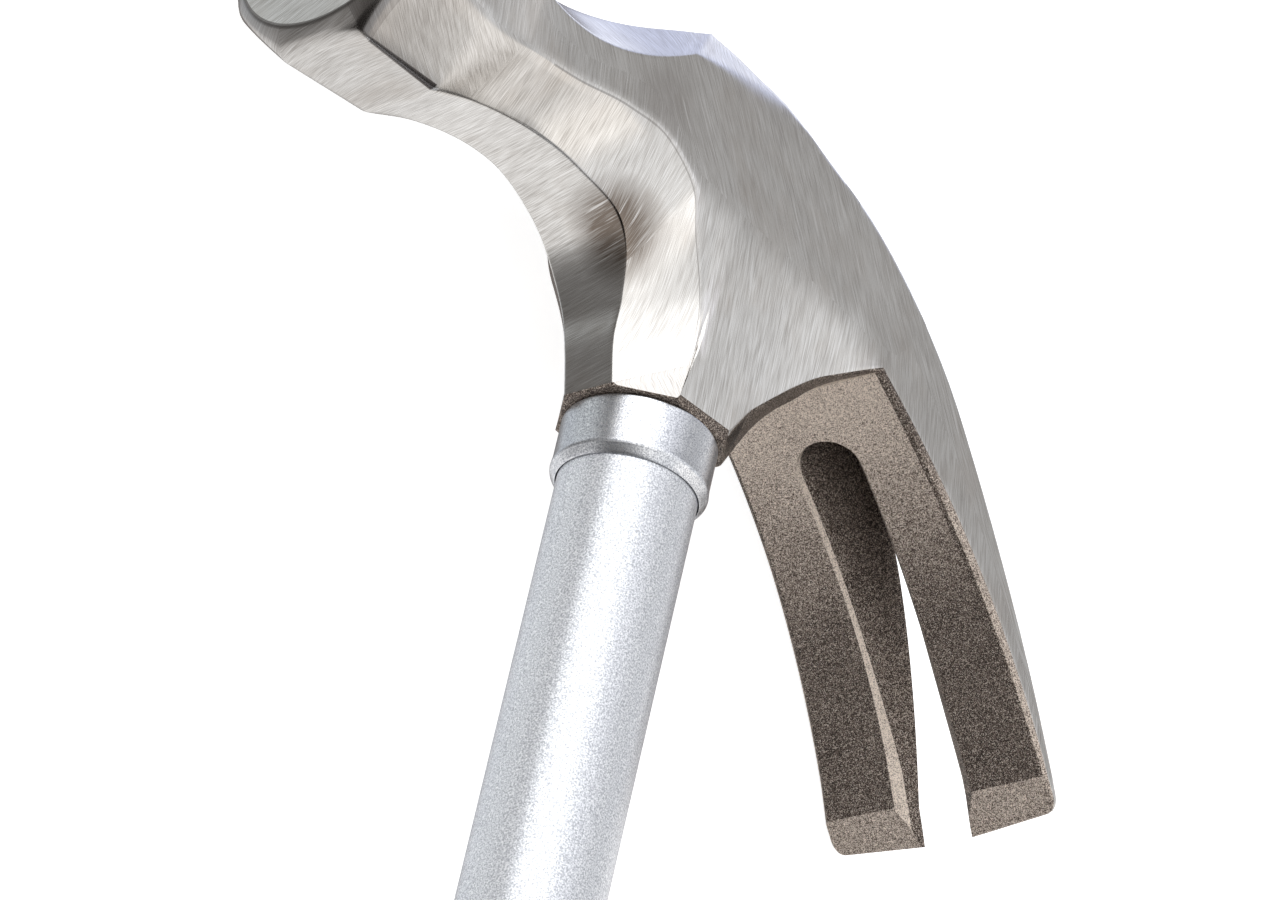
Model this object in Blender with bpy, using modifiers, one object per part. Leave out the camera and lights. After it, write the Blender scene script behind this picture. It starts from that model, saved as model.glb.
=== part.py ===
"""Curved claw hammer: a forged head on a tubular steel handle, with collar, grip and the pieces inside.

X runs from the butt to the head, Y from the claw to the striking face, and Z is up with the hammer lying
on its side. Lengths are in millimetres from the seam between collar and tube, on the handle's axis; the
meshes are made in metres, and the root empty sets the part down with its box centred over the origin.
"""

import math
from collections import namedtuple

import bmesh
import bpy
import numpy as np

MM = 0.001
CLEARANCE = 0.3

# Handle tube
TUBE_RADIUS = 9.2
TUBE_WALL = 1.6
TUBE_NECK_RADIUS = 7.3
SWAGE_LENGTH = 3.2
BARE_TUBE_LENGTH = 104.0

# Collar
COLLAR_RADIUS = 10.25
COLLAR_BEAD_RADIUS = 10.5
COLLAR_BEAD_LENGTH = 3.0
COLLAR_RIM_WALL = 0.4

# Eye, bond and plugs
BOND_THICKNESS = 0.7
EYE_TOP_RECESS = 1.5
EYE_PLUG_LENGTH = 24.0
EYE_PLUG_TAPER = 0.6
BUTT_PLUG_LENGTH = 16.0
BUTT_PLUG_FLANGE = 2.0

# Grip: half sizes along Y and Z at its mouth, waist, belly and butt
GRIP_LENGTH = 180.0
GRIP_END_WALL = 5.0
GRIP_MOUTH = (12.4, 12.0)
GRIP_WAIST = (14.8, 12.6)
GRIP_BELLY = (17.6, 14.2)
GRIP_BUTT = (19.0, 15.2)
GRIP_EDGE = 4.0

# Poll: octagonal bell with a round face
FACE_Y = 72.7
FACE_RADIUS = 15.6
FACE_CHAMFER_DEPTH = 2.2
FACE_CHAMFER_WIDTH = 1.7
POLL_AXIS_X = 39.7
BELL_LENGTH = 17.8
BELL_FRONT_HALF_HEIGHT = 17.4
BELL_REAR_HALF_HEIGHT = 15.1
BELL_FRONT_HALF_WIDTH = 16.6
BELL_REAR_HALF_WIDTH = 14.0
BELL_FRONT_FLAT = 6.9
BELL_REAR_FLAT = 5.8
BELL_SIDE_FLAT = 8.4

# Neck, throat and saddle
NECK_UNDER_X = 31.5
NECK_HALF_WIDTH = 11.3
NECK_FLAT = 4.9
SADDLE_X = 44.2
SADDLE_Y = 43.2
SADDLE_EDGE_POWER = 2.2
SADDLE_TOP_POWER = 1.6
UPPER_CHAMFER = 5.8
CROWN_Y = 13.6
CROWN_LEAN = 2.4
CROWN_FLAT = 9.4
CROWN_BULGE = 0.6

# Boss round the eye, and the cheeks above it
BOSS_FOOT_X = 8.8
BOSS_FRONT_Y = 11.1
BOSS_FRONT_FLAT = 3.9
BOSS_FRONT_CORNER_Y = 5.4
BOSS_REAR_CORNER_Y = -5.2
BOSS_REAR_Y = -9.5
BOSS_REAR_FLAT = 5.9
BOSS_HALF_WIDTH = 10.2
BOSS_FOOT_ROUND = 1.4
CHEEK_HALF_WIDTH = 13.1
CHEEK_CREASE_X = 36.6

# Claw seen from the side: its outer curve has two radii that meet at the join, and its inner curve has one
# radius and a length about its middle; bearings are in degrees
OUTER_JOIN_X = 35.73
OUTER_JOIN_Y = -42.89
OUTER_JOIN_BEARING = 49.3
OUTER_RADIUS = 60.0
OUTER_TAIL_RADIUS = 280.0
INNER_MIDDLE_X = 16.1
INNER_MIDDLE_Y = -50.06
INNER_MIDDLE_BEARING = 40.9
INNER_RADIUS = 129.0
INNER_LENGTH = 58.1
ROOT_OUTER_Y = -33.0
BEVEL_OUTER_Y = -71.8
TIP_Y = -73.9
TIP_THICKNESS = 0.8
TIP_CORNER = 1.6
CLAW_ROOT_HALF_WIDTH = 14.4
CLAW_TIP_HALF_WIDTH = 18.4
CLAW_FLARE_POWER = 1.2
EDGE_BREAK = 0.5

# Nail slot
SLOT_ROOT_SETBACK = 7.4
SLOT_UNDER_HALF_WIDTH = 4.5
SLOT_TOP_HALF_WIDTH = 3.6
SLOT_TOP_POWER = 1.6
SLOT_TIP_FLARE = 1.4
SLOT_FLOOR_HALF_WIDTH = 0.4
SLOT_BREAKTHROUGH = 0.47
SLOT_ROOT_DEPTH = 0.6
SLOT_EDGE_BEVEL = 0.8
SLOT_TIP_BEVEL = 1.9
SLOT_OVERRUN = 3.0
SLOT_TIP_OVERRUN = 3.0

# Fineness of round and curved stretches
TURNED_STEPS = 48
GRIP_SIDES = 32
GRIP_RINGS = 20
STEPS_BETWEEN_SECTIONS = 3
CLAW_RINGS = 16
SLOT_RINGS = 20
SLOT_END_RINGS = 6

# Places that follow from the sizes above
BELL_REAR_Y = FACE_Y - BELL_LENGTH
EYE_RADIUS = TUBE_NECK_RADIUS + BOND_THICKNESS + 2 * CLEARANCE
COLLAR_TOP_X = BOSS_FOOT_X - CLEARANCE
COLLAR_BORE = TUBE_RADIUS + CLEARANCE
GRIP_TOP_X = -BARE_TUBE_LENGTH
BUTT_X = GRIP_TOP_X - GRIP_LENGTH
FLANGE_X = BUTT_X + GRIP_END_WALL + CLEARANCE
TUBE_END_X = FLANGE_X + BUTT_PLUG_FLANGE + CLEARANCE

# One section of the head on its upper side: three edges as (x, y, half width), then where the section
# meets the upper chamfer's two edges, with their half widths.
Section = namedtuple("Section", "under lower crease upper_y upper_half top_y top_half")


def between(low, high, share):
    return low + (high - low) * share


def polar(centre, radius, bearing):
    """Point on a claw curve; bearings turn from the head's top towards the claw's tips."""
    angle = math.radians(bearing)
    return centre[0] + radius * math.cos(angle), centre[1] - radius * math.sin(angle)


def outer_centre(radius):
    """Centre of one of the outer curve's radii, both of which pass through the join."""
    return polar((OUTER_JOIN_X, OUTER_JOIN_Y), -radius, OUTER_JOIN_BEARING)


def outer_x(y):
    """Outer curve of the claw: a round shoulder that runs on into a nearly straight tail."""
    radius = OUTER_RADIUS if y >= OUTER_JOIN_Y else OUTER_TAIL_RADIUS
    centre = outer_centre(radius)
    return centre[0] + math.sqrt(radius ** 2 - (y - centre[1]) ** 2)


def inner_point(share):
    """Point on the inner curve, at a share of the way from the claw's root to its tip's bevel."""
    centre = polar((INNER_MIDDLE_X, INNER_MIDDLE_Y), -INNER_RADIUS, INNER_MIDDLE_BEARING)
    turn = math.degrees(INNER_LENGTH / INNER_RADIUS)
    return polar(centre, INNER_RADIUS, INNER_MIDDLE_BEARING + turn * (share - 0.5))


def saddle_x(y, low, bell_x, crown_x, crown_y, power):
    """An edge over the neck: lowest at the saddle, up to the bell in front and to the crown behind."""
    if y >= SADDLE_Y:
        return low + (bell_x - low) * ((y - SADDLE_Y) / (BELL_REAR_Y - SADDLE_Y)) ** 2
    return low + (crown_x - low) * ((SADDLE_Y - y) / (SADDLE_Y - crown_y)) ** power


def upper_edge_x(y):
    """Edge between cheek and upper chamfer: bell, saddle, then the claw's outer curve."""
    if y >= BELL_REAR_Y:
        return POLL_AXIS_X + BELL_SIDE_FLAT
    shoulder_y = CROWN_Y + CROWN_LEAN
    shoulder_x = outer_x(shoulder_y) - EDGE_BREAK
    if y >= shoulder_y:
        return saddle_x(y, SADDLE_X, POLL_AXIS_X + BELL_SIDE_FLAT, shoulder_x, shoulder_y, SADDLE_EDGE_POWER)
    return outer_x(y) - EDGE_BREAK


def top_edge_x(y):
    """Edge between upper chamfer and top, whose nearly straight crown runs into the claw's outer curve."""
    low = SADDLE_X + UPPER_CHAMFER
    bell_x = POLL_AXIS_X + BELL_REAR_HALF_HEIGHT
    peak_x = outer_x(CROWN_Y) + UPPER_CHAMFER
    if y >= BELL_REAR_Y:
        return bell_x + (BELL_FRONT_HALF_HEIGHT - BELL_REAR_HALF_HEIGHT) * (y - BELL_REAR_Y) / BELL_LENGTH
    if y >= CROWN_Y:
        return saddle_x(y, low, bell_x, peak_x, CROWN_Y, SADDLE_TOP_POWER)
    centre = outer_centre(OUTER_RADIUS)
    away = (peak_x - centre[0], CROWN_Y - centre[1])
    tilt = math.acos(OUTER_RADIUS / math.hypot(*away))
    touch = polar(centre, OUTER_RADIUS, math.degrees(tilt - math.atan2(away[1], away[0])))
    if y >= touch[1]:
        share = (CROWN_Y - y) / (CROWN_Y - touch[1])
        return peak_x + (touch[0] - peak_x) * share + CROWN_BULGE * math.sin(math.pi * share)
    return outer_x(y)


def bell_section(y, half_height, half_width, flat):
    """An octagon round the poll's axis."""
    return Section(
        under=(POLL_AXIS_X - half_height, y, flat),
        lower=(POLL_AXIS_X - BELL_SIDE_FLAT, y, half_width),
        crease=(POLL_AXIS_X, y, half_width),
        upper_y=y,
        upper_half=half_width,
        top_y=y,
        top_half=flat,
    )


def neck_y(share):
    """Place along the neck, from the crown's peak to the bell's rear."""
    return between(CROWN_Y, BELL_REAR_Y, share)


def boss_x(share):
    """Height on the boss, from its foot to the crease across the cheeks."""
    return between(BOSS_FOOT_X, CHEEK_CREASE_X, share)


def front_sections():
    """From the bell's rear, under the neck and through the throat, down the front of the boss."""
    neck = NECK_UNDER_X
    wide = NECK_HALF_WIDTH
    flat = NECK_FLAT
    front = BOSS_FRONT_Y
    crease = CHEEK_CREASE_X
    cheek = CHEEK_HALF_WIDTH
    boss = BOSS_HALF_WIDTH
    crown = CROWN_FLAT
    shoulder_y = CROWN_Y + CROWN_LEAN
    return [
        bell_section(BELL_REAR_Y, BELL_REAR_HALF_HEIGHT, BELL_REAR_HALF_WIDTH, BELL_REAR_FLAT),
        Section((neck - 3.3, neck_y(0.804), flat + 0.2), (neck + 3.3, neck_y(0.8), wide + 0.8),
                (neck + 8.5, neck_y(0.8), wide + 0.8), neck_y(0.8), wide + 0.8, neck_y(0.8), flat + 0.4),
        Section((neck - 0.2, neck_y(0.538), flat), (neck + 5.9, neck_y(0.554), wide),
                (neck + 9.2, neck_y(0.547), wide), neck_y(0.54), wide, neck_y(0.54), flat + 0.4),
        Section((neck - 0.2, neck_y(0.327), flat + 0.6), (neck + 8.4, neck_y(0.312), wide + 0.2),
                (neck + 12.0, neck_y(0.295), wide + 0.3), neck_y(0.3), wide + 0.4, neck_y(0.29), flat + 2.2),
        Section((neck - 2.2, neck_y(0.15), flat + 1.6), (neck + 8.3, neck_y(0.14), wide + 0.8),
                (neck + 10.0, neck_y(0.136), wide + 0.9), neck_y(0.17), wide + 0.7, neck_y(0.126), crown - 0.4),
        Section((neck - 5.8, neck_y(0.068), flat + 1.3), (crease - 0.4, CROWN_Y, cheek - 0.6),
                (crease + 0.8, CROWN_Y, cheek - 0.4), shoulder_y, wide + 0.8, CROWN_Y, crown),
        Section((boss_x(0.41), front + 2.9, BOSS_FRONT_FLAT + 1.0), (boss_x(0.784), front - 0.3, cheek - 0.9),
                (crease + 0.4, front - 1.1, cheek), front - 0.7, cheek - 0.6, front - 1.7, crown + 0.9),
        Section((boss_x(0.209), front + 1.7, BOSS_FRONT_FLAT + 0.1), (boss_x(0.5), front - 3.3, boss + 1.1),
                (crease + 0.2, front - 3.6, cheek), front - 5.3, cheek - 0.4, front - 5.7, crown + 1.6),
        Section((BOSS_FOOT_X, front, BOSS_FRONT_FLAT), (boss_x(0.194), front - 5.7, boss + 0.3),
                (crease, front - 6.1, cheek), front - 8.5, cheek - 0.3, front - 8.7, crown + 2.3),
    ]


def foot_sections():
    """The boss's flat foot, from its front corners to its rear corners, with a rounded rim."""
    foot = BOSS_FOOT_X
    half = BOSS_HALF_WIDTH
    rim = foot + BOSS_FOOT_ROUND
    front = BOSS_FRONT_CORNER_Y
    rear = BOSS_REAR_CORNER_Y
    crease = CHEEK_CREASE_X
    cheek = CHEEK_HALF_WIDTH
    return [
        Section((foot, front, half - 0.2), (rim, front, half),
                (crease, 2.5, cheek), -0.2, cheek - 0.2, -0.2, CROWN_FLAT + 2.9),
        Section((foot, rear, half - 0.2), (rim + 0.4, rear, half),
                (crease, -4.5, cheek + 0.2), -5.2, cheek, -5.2, CROWN_FLAT + 3.4),
    ]


def rear_sections():
    """From the rear of the boss, up through the crotch, to the root of the claw."""
    rear = BOSS_REAR_Y
    boss = BOSS_HALF_WIDTH
    cheek = CHEEK_HALF_WIDTH
    crease = CHEEK_CREASE_X
    flat = BOSS_REAR_FLAT
    root = CLAW_ROOT_HALF_WIDTH
    root_x, root_y = inner_point(0.0)

    def crotch(x_share, y_share):
        return between(BOSS_FOOT_X, root_x, x_share), between(rear, root_y, y_share)

    def crown(share):
        return between(rear, ROOT_OUTER_Y, share)

    return [
        Section((BOSS_FOOT_X, rear, flat), (boss_x(0.234), rear + 1.7, boss + 0.3),
                (crease - 0.4, rear + 0.5, cheek + 0.3), crown(0.02), cheek + 0.3, crown(0.02), cheek - 0.2),
        Section((*crotch(0.35, 0.23), flat + 0.1), (*crotch(0.456, 0.108), boss + 0.8),
                (crease - 0.6, crown(0.13), cheek + 0.5), crown(0.21), cheek + 0.6, crown(0.21), cheek + 0.1),
        Section((*crotch(0.54, 0.4), flat + 0.4), (*crotch(0.603, 0.287), boss + 1.3),
                (crease - 0.8, crown(0.28), cheek + 0.7), crown(0.4), root - 0.5, crown(0.4), root - 1.0),
        Section((*crotch(0.675, 0.545), flat + 1.5), (*crotch(0.726, 0.46), boss + 1.8),
                (crease - 1.0, crown(0.38), cheek + 0.8), crown(0.55), root - 0.4, crown(0.55), root - 0.9),
        Section((*crotch(0.814, 0.69), flat + 2.8), (*crotch(0.84, 0.671), boss + 2.5),
                (crease - 1.2, crown(0.52), root - 0.5), crown(0.72), root - 0.3, crown(0.72), root - 0.8),
        root_section(root_x, root_y),
    ]


def root_section(root_x, root_y):
    """The claw's first section, where its inner curve leaves the crotch."""
    half = CLAW_ROOT_HALF_WIDTH
    edge = EDGE_BREAK
    return Section((root_x, root_y, half - edge), (root_x + edge, root_y - edge / 2, half),
                   (root_x + 3.0, root_y - 1.6, half), ROOT_OUTER_Y, half, ROOT_OUTER_Y, half - edge)


def curve_through(sections):
    """More sections between the given ones, on smooth curves through their edges."""
    rows = np.array([[*s.under, *s.lower, *s.crease, *s[3:]] for s in sections])
    spacing = np.linalg.norm(np.diff(rows, axis=0), axis=1)
    knots = np.concatenate([[0.0], np.cumsum(spacing)])
    slopes = np.gradient(rows, knots, axis=0)
    out = []
    for index, span in enumerate(spacing):
        for step in range(STEPS_BETWEEN_SECTIONS):
            t = step / STEPS_BETWEEN_SECTIONS
            out.append(rows[index] * (1 + 2 * t) * (1 - t) ** 2 + rows[index + 1] * t * t * (3 - 2 * t)
                       + span * (slopes[index] * t * (1 - t) ** 2 - slopes[index + 1] * t * t * (1 - t)))
    out.append(rows[-1])
    return [Section(tuple(v[0:3]), tuple(v[3:6]), tuple(v[6:9]), *v[9:]) for v in out]


def section_edges(section):
    """Five edge points of a section, from the top edge round to the under edge."""
    return [
        (top_edge_x(section.top_y), section.top_y, section.top_half),
        (upper_edge_x(section.upper_y), section.upper_y, section.upper_half),
        section.crease,
        section.lower,
        section.under,
    ]


def claw_ends(share):
    """Inner and outer points of the claw at a share of the way from its root to its tip's bevel."""
    y = between(ROOT_OUTER_Y, BEVEL_OUTER_Y, share)
    return inner_point(share), (outer_x(y), y)


def claw_half_width(share):
    return CLAW_ROOT_HALF_WIDTH + (CLAW_TIP_HALF_WIDTH - CLAW_ROOT_HALF_WIDTH) * share ** CLAW_FLARE_POWER


def claw_edges(inner, outer, half_width):
    """Five edge points of a claw section, with its long edges broken."""
    across = np.subtract(outer, inner)
    thickness = np.linalg.norm(across)
    step = across / thickness * min(EDGE_BREAK, thickness / 4)
    upper = np.subtract(outer, step)
    lower = np.add(inner, step)
    middle = (upper + lower) / 2
    flat = half_width - EDGE_BREAK
    return [(*outer, flat), (*upper, half_width), (*middle, half_width), (*lower, half_width), (*inner, flat)]


def claw_rings():
    """Sections from just past the claw's root to the sharpened tip."""
    rings = []
    for index in range(1, CLAW_RINGS + 1):
        share = index / CLAW_RINGS
        rings.append(claw_edges(*claw_ends(share), claw_half_width(share)))
    inner, outer = claw_ends(1.0)
    tip_outer = (outer_x(TIP_Y), TIP_Y)
    tip_inner = (tip_outer[0] - TIP_THICKNESS * 0.5, TIP_Y + TIP_THICKNESS * 0.8)
    for share in (0.6, 0.85, 1.0):
        lower = np.add(np.multiply(inner, 1 - share), np.multiply(tip_inner, share))
        upper_y = outer[1] + (TIP_Y - outer[1]) * share
        corner = TIP_CORNER * (share - 0.6) ** 2 / 0.16
        rings.append(claw_edges(tuple(lower), (outer_x(upper_y), upper_y), CLAW_TIP_HALF_WIDTH - corner))
    return rings


def whole_ring(edges):
    """A section's edge points on the upper side, then mirrored to the lower side."""
    return [*edges, *((x, y, -z) for x, y, z in reversed(edges))]


def loft(name, rings):
    """Closed mesh through rings of points given in millimetres."""
    bm = bmesh.new()
    loops = [[bm.verts.new((x * MM, y * MM, z * MM)) for x, y, z in ring] for ring in rings]
    for ahead, behind in zip(loops, loops[1:]):
        for index in range(len(ahead)):
            bm.faces.new((ahead[index - 1], ahead[index], behind[index], behind[index - 1]))
    bm.faces.new(loops[0])
    bm.faces.new(loops[-1])
    bmesh.ops.recalc_face_normals(bm, faces=bm.faces)
    bmesh.ops.triangulate(bm, faces=[face for face in bm.faces if len(face.verts) == 4])
    mesh = bpy.data.meshes.new(name)
    bm.to_mesh(mesh)
    bm.free()
    return mesh


def turned(name, profile, closed):
    """Object turned about the handle's axis from (x, radius) points that run from head to butt outside."""
    mesh = bpy.data.meshes.new(name)
    edges = [(index, index + 1) for index in range(len(profile) - 1)]
    if closed:
        edges.append((len(profile) - 1, 0))
    mesh.from_pydata([(radius * MM, 0.0, x * MM) for x, radius in profile], edges, [])
    turned_object = bpy.data.objects.new(name, mesh)
    turned_object.rotation_euler = (0.0, math.pi / 2, 0.0)
    screw = turned_object.modifiers.new("turn", "SCREW")
    screw.steps = TURNED_STEPS
    screw.render_steps = TURNED_STEPS
    screw.use_merge_vertices = True
    screw.merge_threshold = 0.00001
    screw.use_smooth_shade = True
    return turned_object


def cut(target, cutter, operation):
    """Boolean of a cutter on a part; the cutter stays as a hidden wire guide."""
    cutter.hide_render = True
    cutter.display_type = "WIRE"
    boolean = target.modifiers.new(operation.lower(), "BOOLEAN")
    boolean.operation = operation
    boolean.object = cutter


def face_envelope():
    """Turned body about the poll's axis that leaves the round face and its chamfer."""
    reach = 4 * (FACE_Y - TIP_Y)
    rim = FACE_RADIUS + FACE_CHAMFER_WIDTH
    slope_end = FACE_Y - BELL_LENGTH / 2
    profile = [(FACE_Y, 0.0), (FACE_Y, FACE_RADIUS), (FACE_Y - FACE_CHAMFER_DEPTH, rim),
               (slope_end, reach), (-reach, reach), (-reach, 0.0)]
    envelope = turned("face_envelope", profile, closed=False)
    envelope.rotation_euler = (-math.pi / 2, 0.0, 0.0)
    envelope.location = (POLL_AXIS_X * MM, 0.0, 0.0)
    return envelope


def slot_ring(share, narrowing):
    """Section of the nail slot's cutter: a groove that opens inwards and breaks through further out."""
    inner, outer = claw_ends(share)
    across = np.subtract(outer, inner)
    open_share = (share - SLOT_BREAKTHROUGH) / (1 - SLOT_BREAKTHROUGH)
    if open_share > 0:
        depth = 1.0
        half_top = between(SLOT_FLOOR_HALF_WIDTH, SLOT_TOP_HALF_WIDTH, open_share ** SLOT_TOP_POWER)
    else:
        depth = 1.0 + (1.0 - SLOT_ROOT_DEPTH) * open_share * (1 - SLOT_BREAKTHROUGH) / SLOT_BREAKTHROUGH
        half_top = SLOT_FLOOR_HALF_WIDTH
    half_under = SLOT_UNDER_HALF_WIDTH
    bevel = between(SLOT_EDGE_BEVEL, SLOT_TIP_BEVEL, max(0.0, open_share) ** 2)
    wall = np.add(inner, across * min(0.5, bevel / np.linalg.norm(across)))
    floor = np.add(inner, across * depth)
    over = across / np.linalg.norm(across) * SLOT_OVERRUN * depth ** 40
    below = np.subtract(inner, across / np.linalg.norm(across) * SLOT_OVERRUN)
    side = [(*np.add(floor, over), half_top), (*floor, half_top), (*wall, half_under),
            (*inner, half_under + bevel), (*below, half_under + bevel + SLOT_OVERRUN)]
    return whole_ring([(x, y, z * narrowing) for x, y, z in side])


def slot_rings():
    """Nail slot from its rounded root to past the claw's tips."""
    root_share = SLOT_ROOT_SETBACK / INNER_LENGTH
    end_share = SLOT_UNDER_HALF_WIDTH / INNER_LENGTH
    rings = []
    for index in range(SLOT_END_RINGS):
        angle = math.pi / 2 * (index + 0.4) / SLOT_END_RINGS
        rings.append(slot_ring(root_share + end_share * (1 - math.cos(angle)), math.sin(angle)))
    start = root_share + end_share
    for index in range(SLOT_RINGS + 1):
        rings.append(slot_ring(start + (1.0 - start) * index / SLOT_RINGS, 1.0))
    outer = claw_ends(1.0)[1]
    past = np.subtract((outer_x(TIP_Y), TIP_Y), outer) * SLOT_TIP_OVERRUN
    flare = SLOT_TIP_FLARE * SLOT_TIP_OVERRUN
    ring = []
    for x, y, z in rings[-1]:
        widened = math.copysign(abs(z) + flare, z) if abs(z) <= SLOT_TOP_HALF_WIDTH else z
        ring.append((x + past[0], y + past[1], widened))
    rings.append(ring)
    return rings


def make_head(cutters):
    sections = [bell_section(FACE_Y, BELL_FRONT_HALF_HEIGHT, BELL_FRONT_HALF_WIDTH, BELL_FRONT_FLAT)]
    sections += curve_through(front_sections())
    sections += foot_sections()
    sections += curve_through(rear_sections())
    rings = [section_edges(section) for section in sections] + claw_rings()
    head = bpy.data.objects.new("head", loft("head", [whole_ring(ring) for ring in rings]))
    slot = bpy.data.objects.new("slot_cutter", loft("slot_cutter", slot_rings()))
    past_crown = POLL_AXIS_X + 2 * BELL_FRONT_HALF_HEIGHT
    eye = turned("eye_cutter", [(past_crown, 0.0), (past_crown, EYE_RADIUS), (0.0, EYE_RADIUS), (0.0, 0.0)],
                 closed=False)
    envelope = face_envelope()
    for cutter, operation in ((envelope, "INTERSECT"), (slot, "DIFFERENCE"), (eye, "DIFFERENCE")):
        cutters.objects.link(cutter)
        cut(head, cutter, operation)
    return head


def crown_x():
    """Height of the crown's top over the eye."""
    return top_edge_x(-EYE_RADIUS)


def make_handle_tube():
    top = crown_x() - EYE_TOP_RECESS
    shoulder = COLLAR_TOP_X - CLEARANCE
    swage = shoulder - SWAGE_LENGTH
    bore = TUBE_RADIUS - TUBE_WALL
    neck_bore = TUBE_NECK_RADIUS - TUBE_WALL
    profile = [(top, TUBE_NECK_RADIUS), (shoulder, TUBE_NECK_RADIUS), (swage, TUBE_RADIUS),
               (TUBE_END_X, TUBE_RADIUS), (TUBE_END_X, bore), (swage, bore),
               (shoulder, neck_bore), (top, neck_bore)]
    return turned("handle_tube", profile, closed=True)


def make_collar():
    """Sleeve with a rolled bead at its lower rim, which turns in to the tube."""
    bead = COLLAR_BEAD_LENGTH
    rim = COLLAR_BORE + COLLAR_RIM_WALL
    profile = [(COLLAR_TOP_X, COLLAR_RADIUS - EDGE_BREAK / 2), (COLLAR_TOP_X - EDGE_BREAK / 2, COLLAR_RADIUS)]
    for step in range(7):
        turn = math.pi * step / 6
        x = bead / 2 * (1 + math.cos(turn))
        start = COLLAR_RADIUS if step <= 3 else rim
        profile.append((x, start + (COLLAR_BEAD_RADIUS - start) * math.sin(turn)))
    profile += [(0.0, COLLAR_BORE), (COLLAR_TOP_X, COLLAR_BORE)]
    return turned("collar", profile, closed=True)


def make_bond_sleeve():
    """Resin between the tube's neck and the eye."""
    inner = TUBE_NECK_RADIUS + CLEARANCE
    outer = EYE_RADIUS - CLEARANCE
    top = crown_x() - EYE_TOP_RECESS
    foot = BOSS_FOOT_X
    return turned("bond_sleeve", [(top, outer), (foot, outer), (foot, inner), (top, inner)], closed=True)


def make_eye_plug():
    """Tapered steel plug, driven into the tube's neck from the top."""
    radius = TUBE_NECK_RADIUS - TUBE_WALL - CLEARANCE
    top = crown_x() - EYE_TOP_RECESS
    foot = top - EYE_PLUG_LENGTH
    profile = [(top, 0.0), (top, radius), (foot, radius - EYE_PLUG_TAPER), (foot, 0.0)]
    return turned("eye_plug", profile, closed=False)


def make_butt_plug():
    """Moulded plug in the tube's lower end, with a flange that the tube stands on."""
    body = TUBE_RADIUS - TUBE_WALL - CLEARANCE
    flange = TUBE_RADIUS
    step = FLANGE_X + BUTT_PLUG_FLANGE
    top = step + BUTT_PLUG_LENGTH
    profile = [(top, 0.0), (top, body - EDGE_BREAK), (top - EDGE_BREAK, body), (step, body), (step, flange),
               (FLANGE_X, flange), (FLANGE_X, 0.0)]
    return turned("butt_plug", profile, closed=False)


def grip_half_sizes(share):
    """Half sizes along Y and Z at a share of the way from the grip's mouth to its butt."""
    places = [0.0, 0.28, 0.62, 0.94, 1.0]
    sizes = [GRIP_MOUTH, GRIP_WAIST, GRIP_BELLY, GRIP_BUTT, GRIP_BUTT]
    for index in range(len(places) - 1):
        if share <= places[index + 1]:
            t = (share - places[index]) / (places[index + 1] - places[index])
            ease = t * t * (3 - 2 * t)
            return np.add(np.multiply(sizes[index], 1 - ease), np.multiply(sizes[index + 1], ease))
    return np.array(GRIP_BUTT)


def grip_ring(x, half_y, half_z):
    turns = (2 * math.pi * index / GRIP_SIDES for index in range(GRIP_SIDES))
    return [(x, half_y * math.cos(turn), half_z * math.sin(turn)) for turn in turns]


def make_grip(cutters):
    """Oval rubber sleeve, closed at the butt, with a bore for the tube and the plug's flange."""
    rings = []
    for index in range(GRIP_RINGS + 1):
        share = index / GRIP_RINGS
        half_y, half_z = grip_half_sizes(share)
        rings.append(grip_ring(GRIP_TOP_X - (GRIP_LENGTH - GRIP_EDGE) * share, half_y, half_z))
    for step in range(1, 5):
        turn = math.pi / 2 * step / 4
        inset = GRIP_EDGE * (1 - math.cos(turn))
        x = BUTT_X + GRIP_EDGE * (1 - math.sin(turn))
        rings.append(grip_ring(x, GRIP_BUTT[0] - inset, GRIP_BUTT[1] - inset))
    grip = bpy.data.objects.new("grip", loft("grip", rings))
    bore = TUBE_RADIUS + CLEARANCE
    floor = BUTT_X + GRIP_END_WALL
    bore_top = GRIP_TOP_X + GRIP_EDGE
    profile = [(bore_top, 0.0), (bore_top, bore), (floor, bore), (floor, 0.0)]
    cutter = turned("grip_bore", profile, closed=False)
    cutters.objects.link(cutter)
    cut(grip, cutter, "DIFFERENCE")
    return grip


def material(name, colour, roughness, metallic):
    made = bpy.data.materials.new(name)
    made.use_nodes = True
    shader = made.node_tree.nodes["Principled BSDF"]
    shader.inputs["Base Color"].default_value = (*colour, 1.0)
    shader.inputs["Roughness"].default_value = roughness
    shader.inputs["Metallic"].default_value = metallic
    return made


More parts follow.
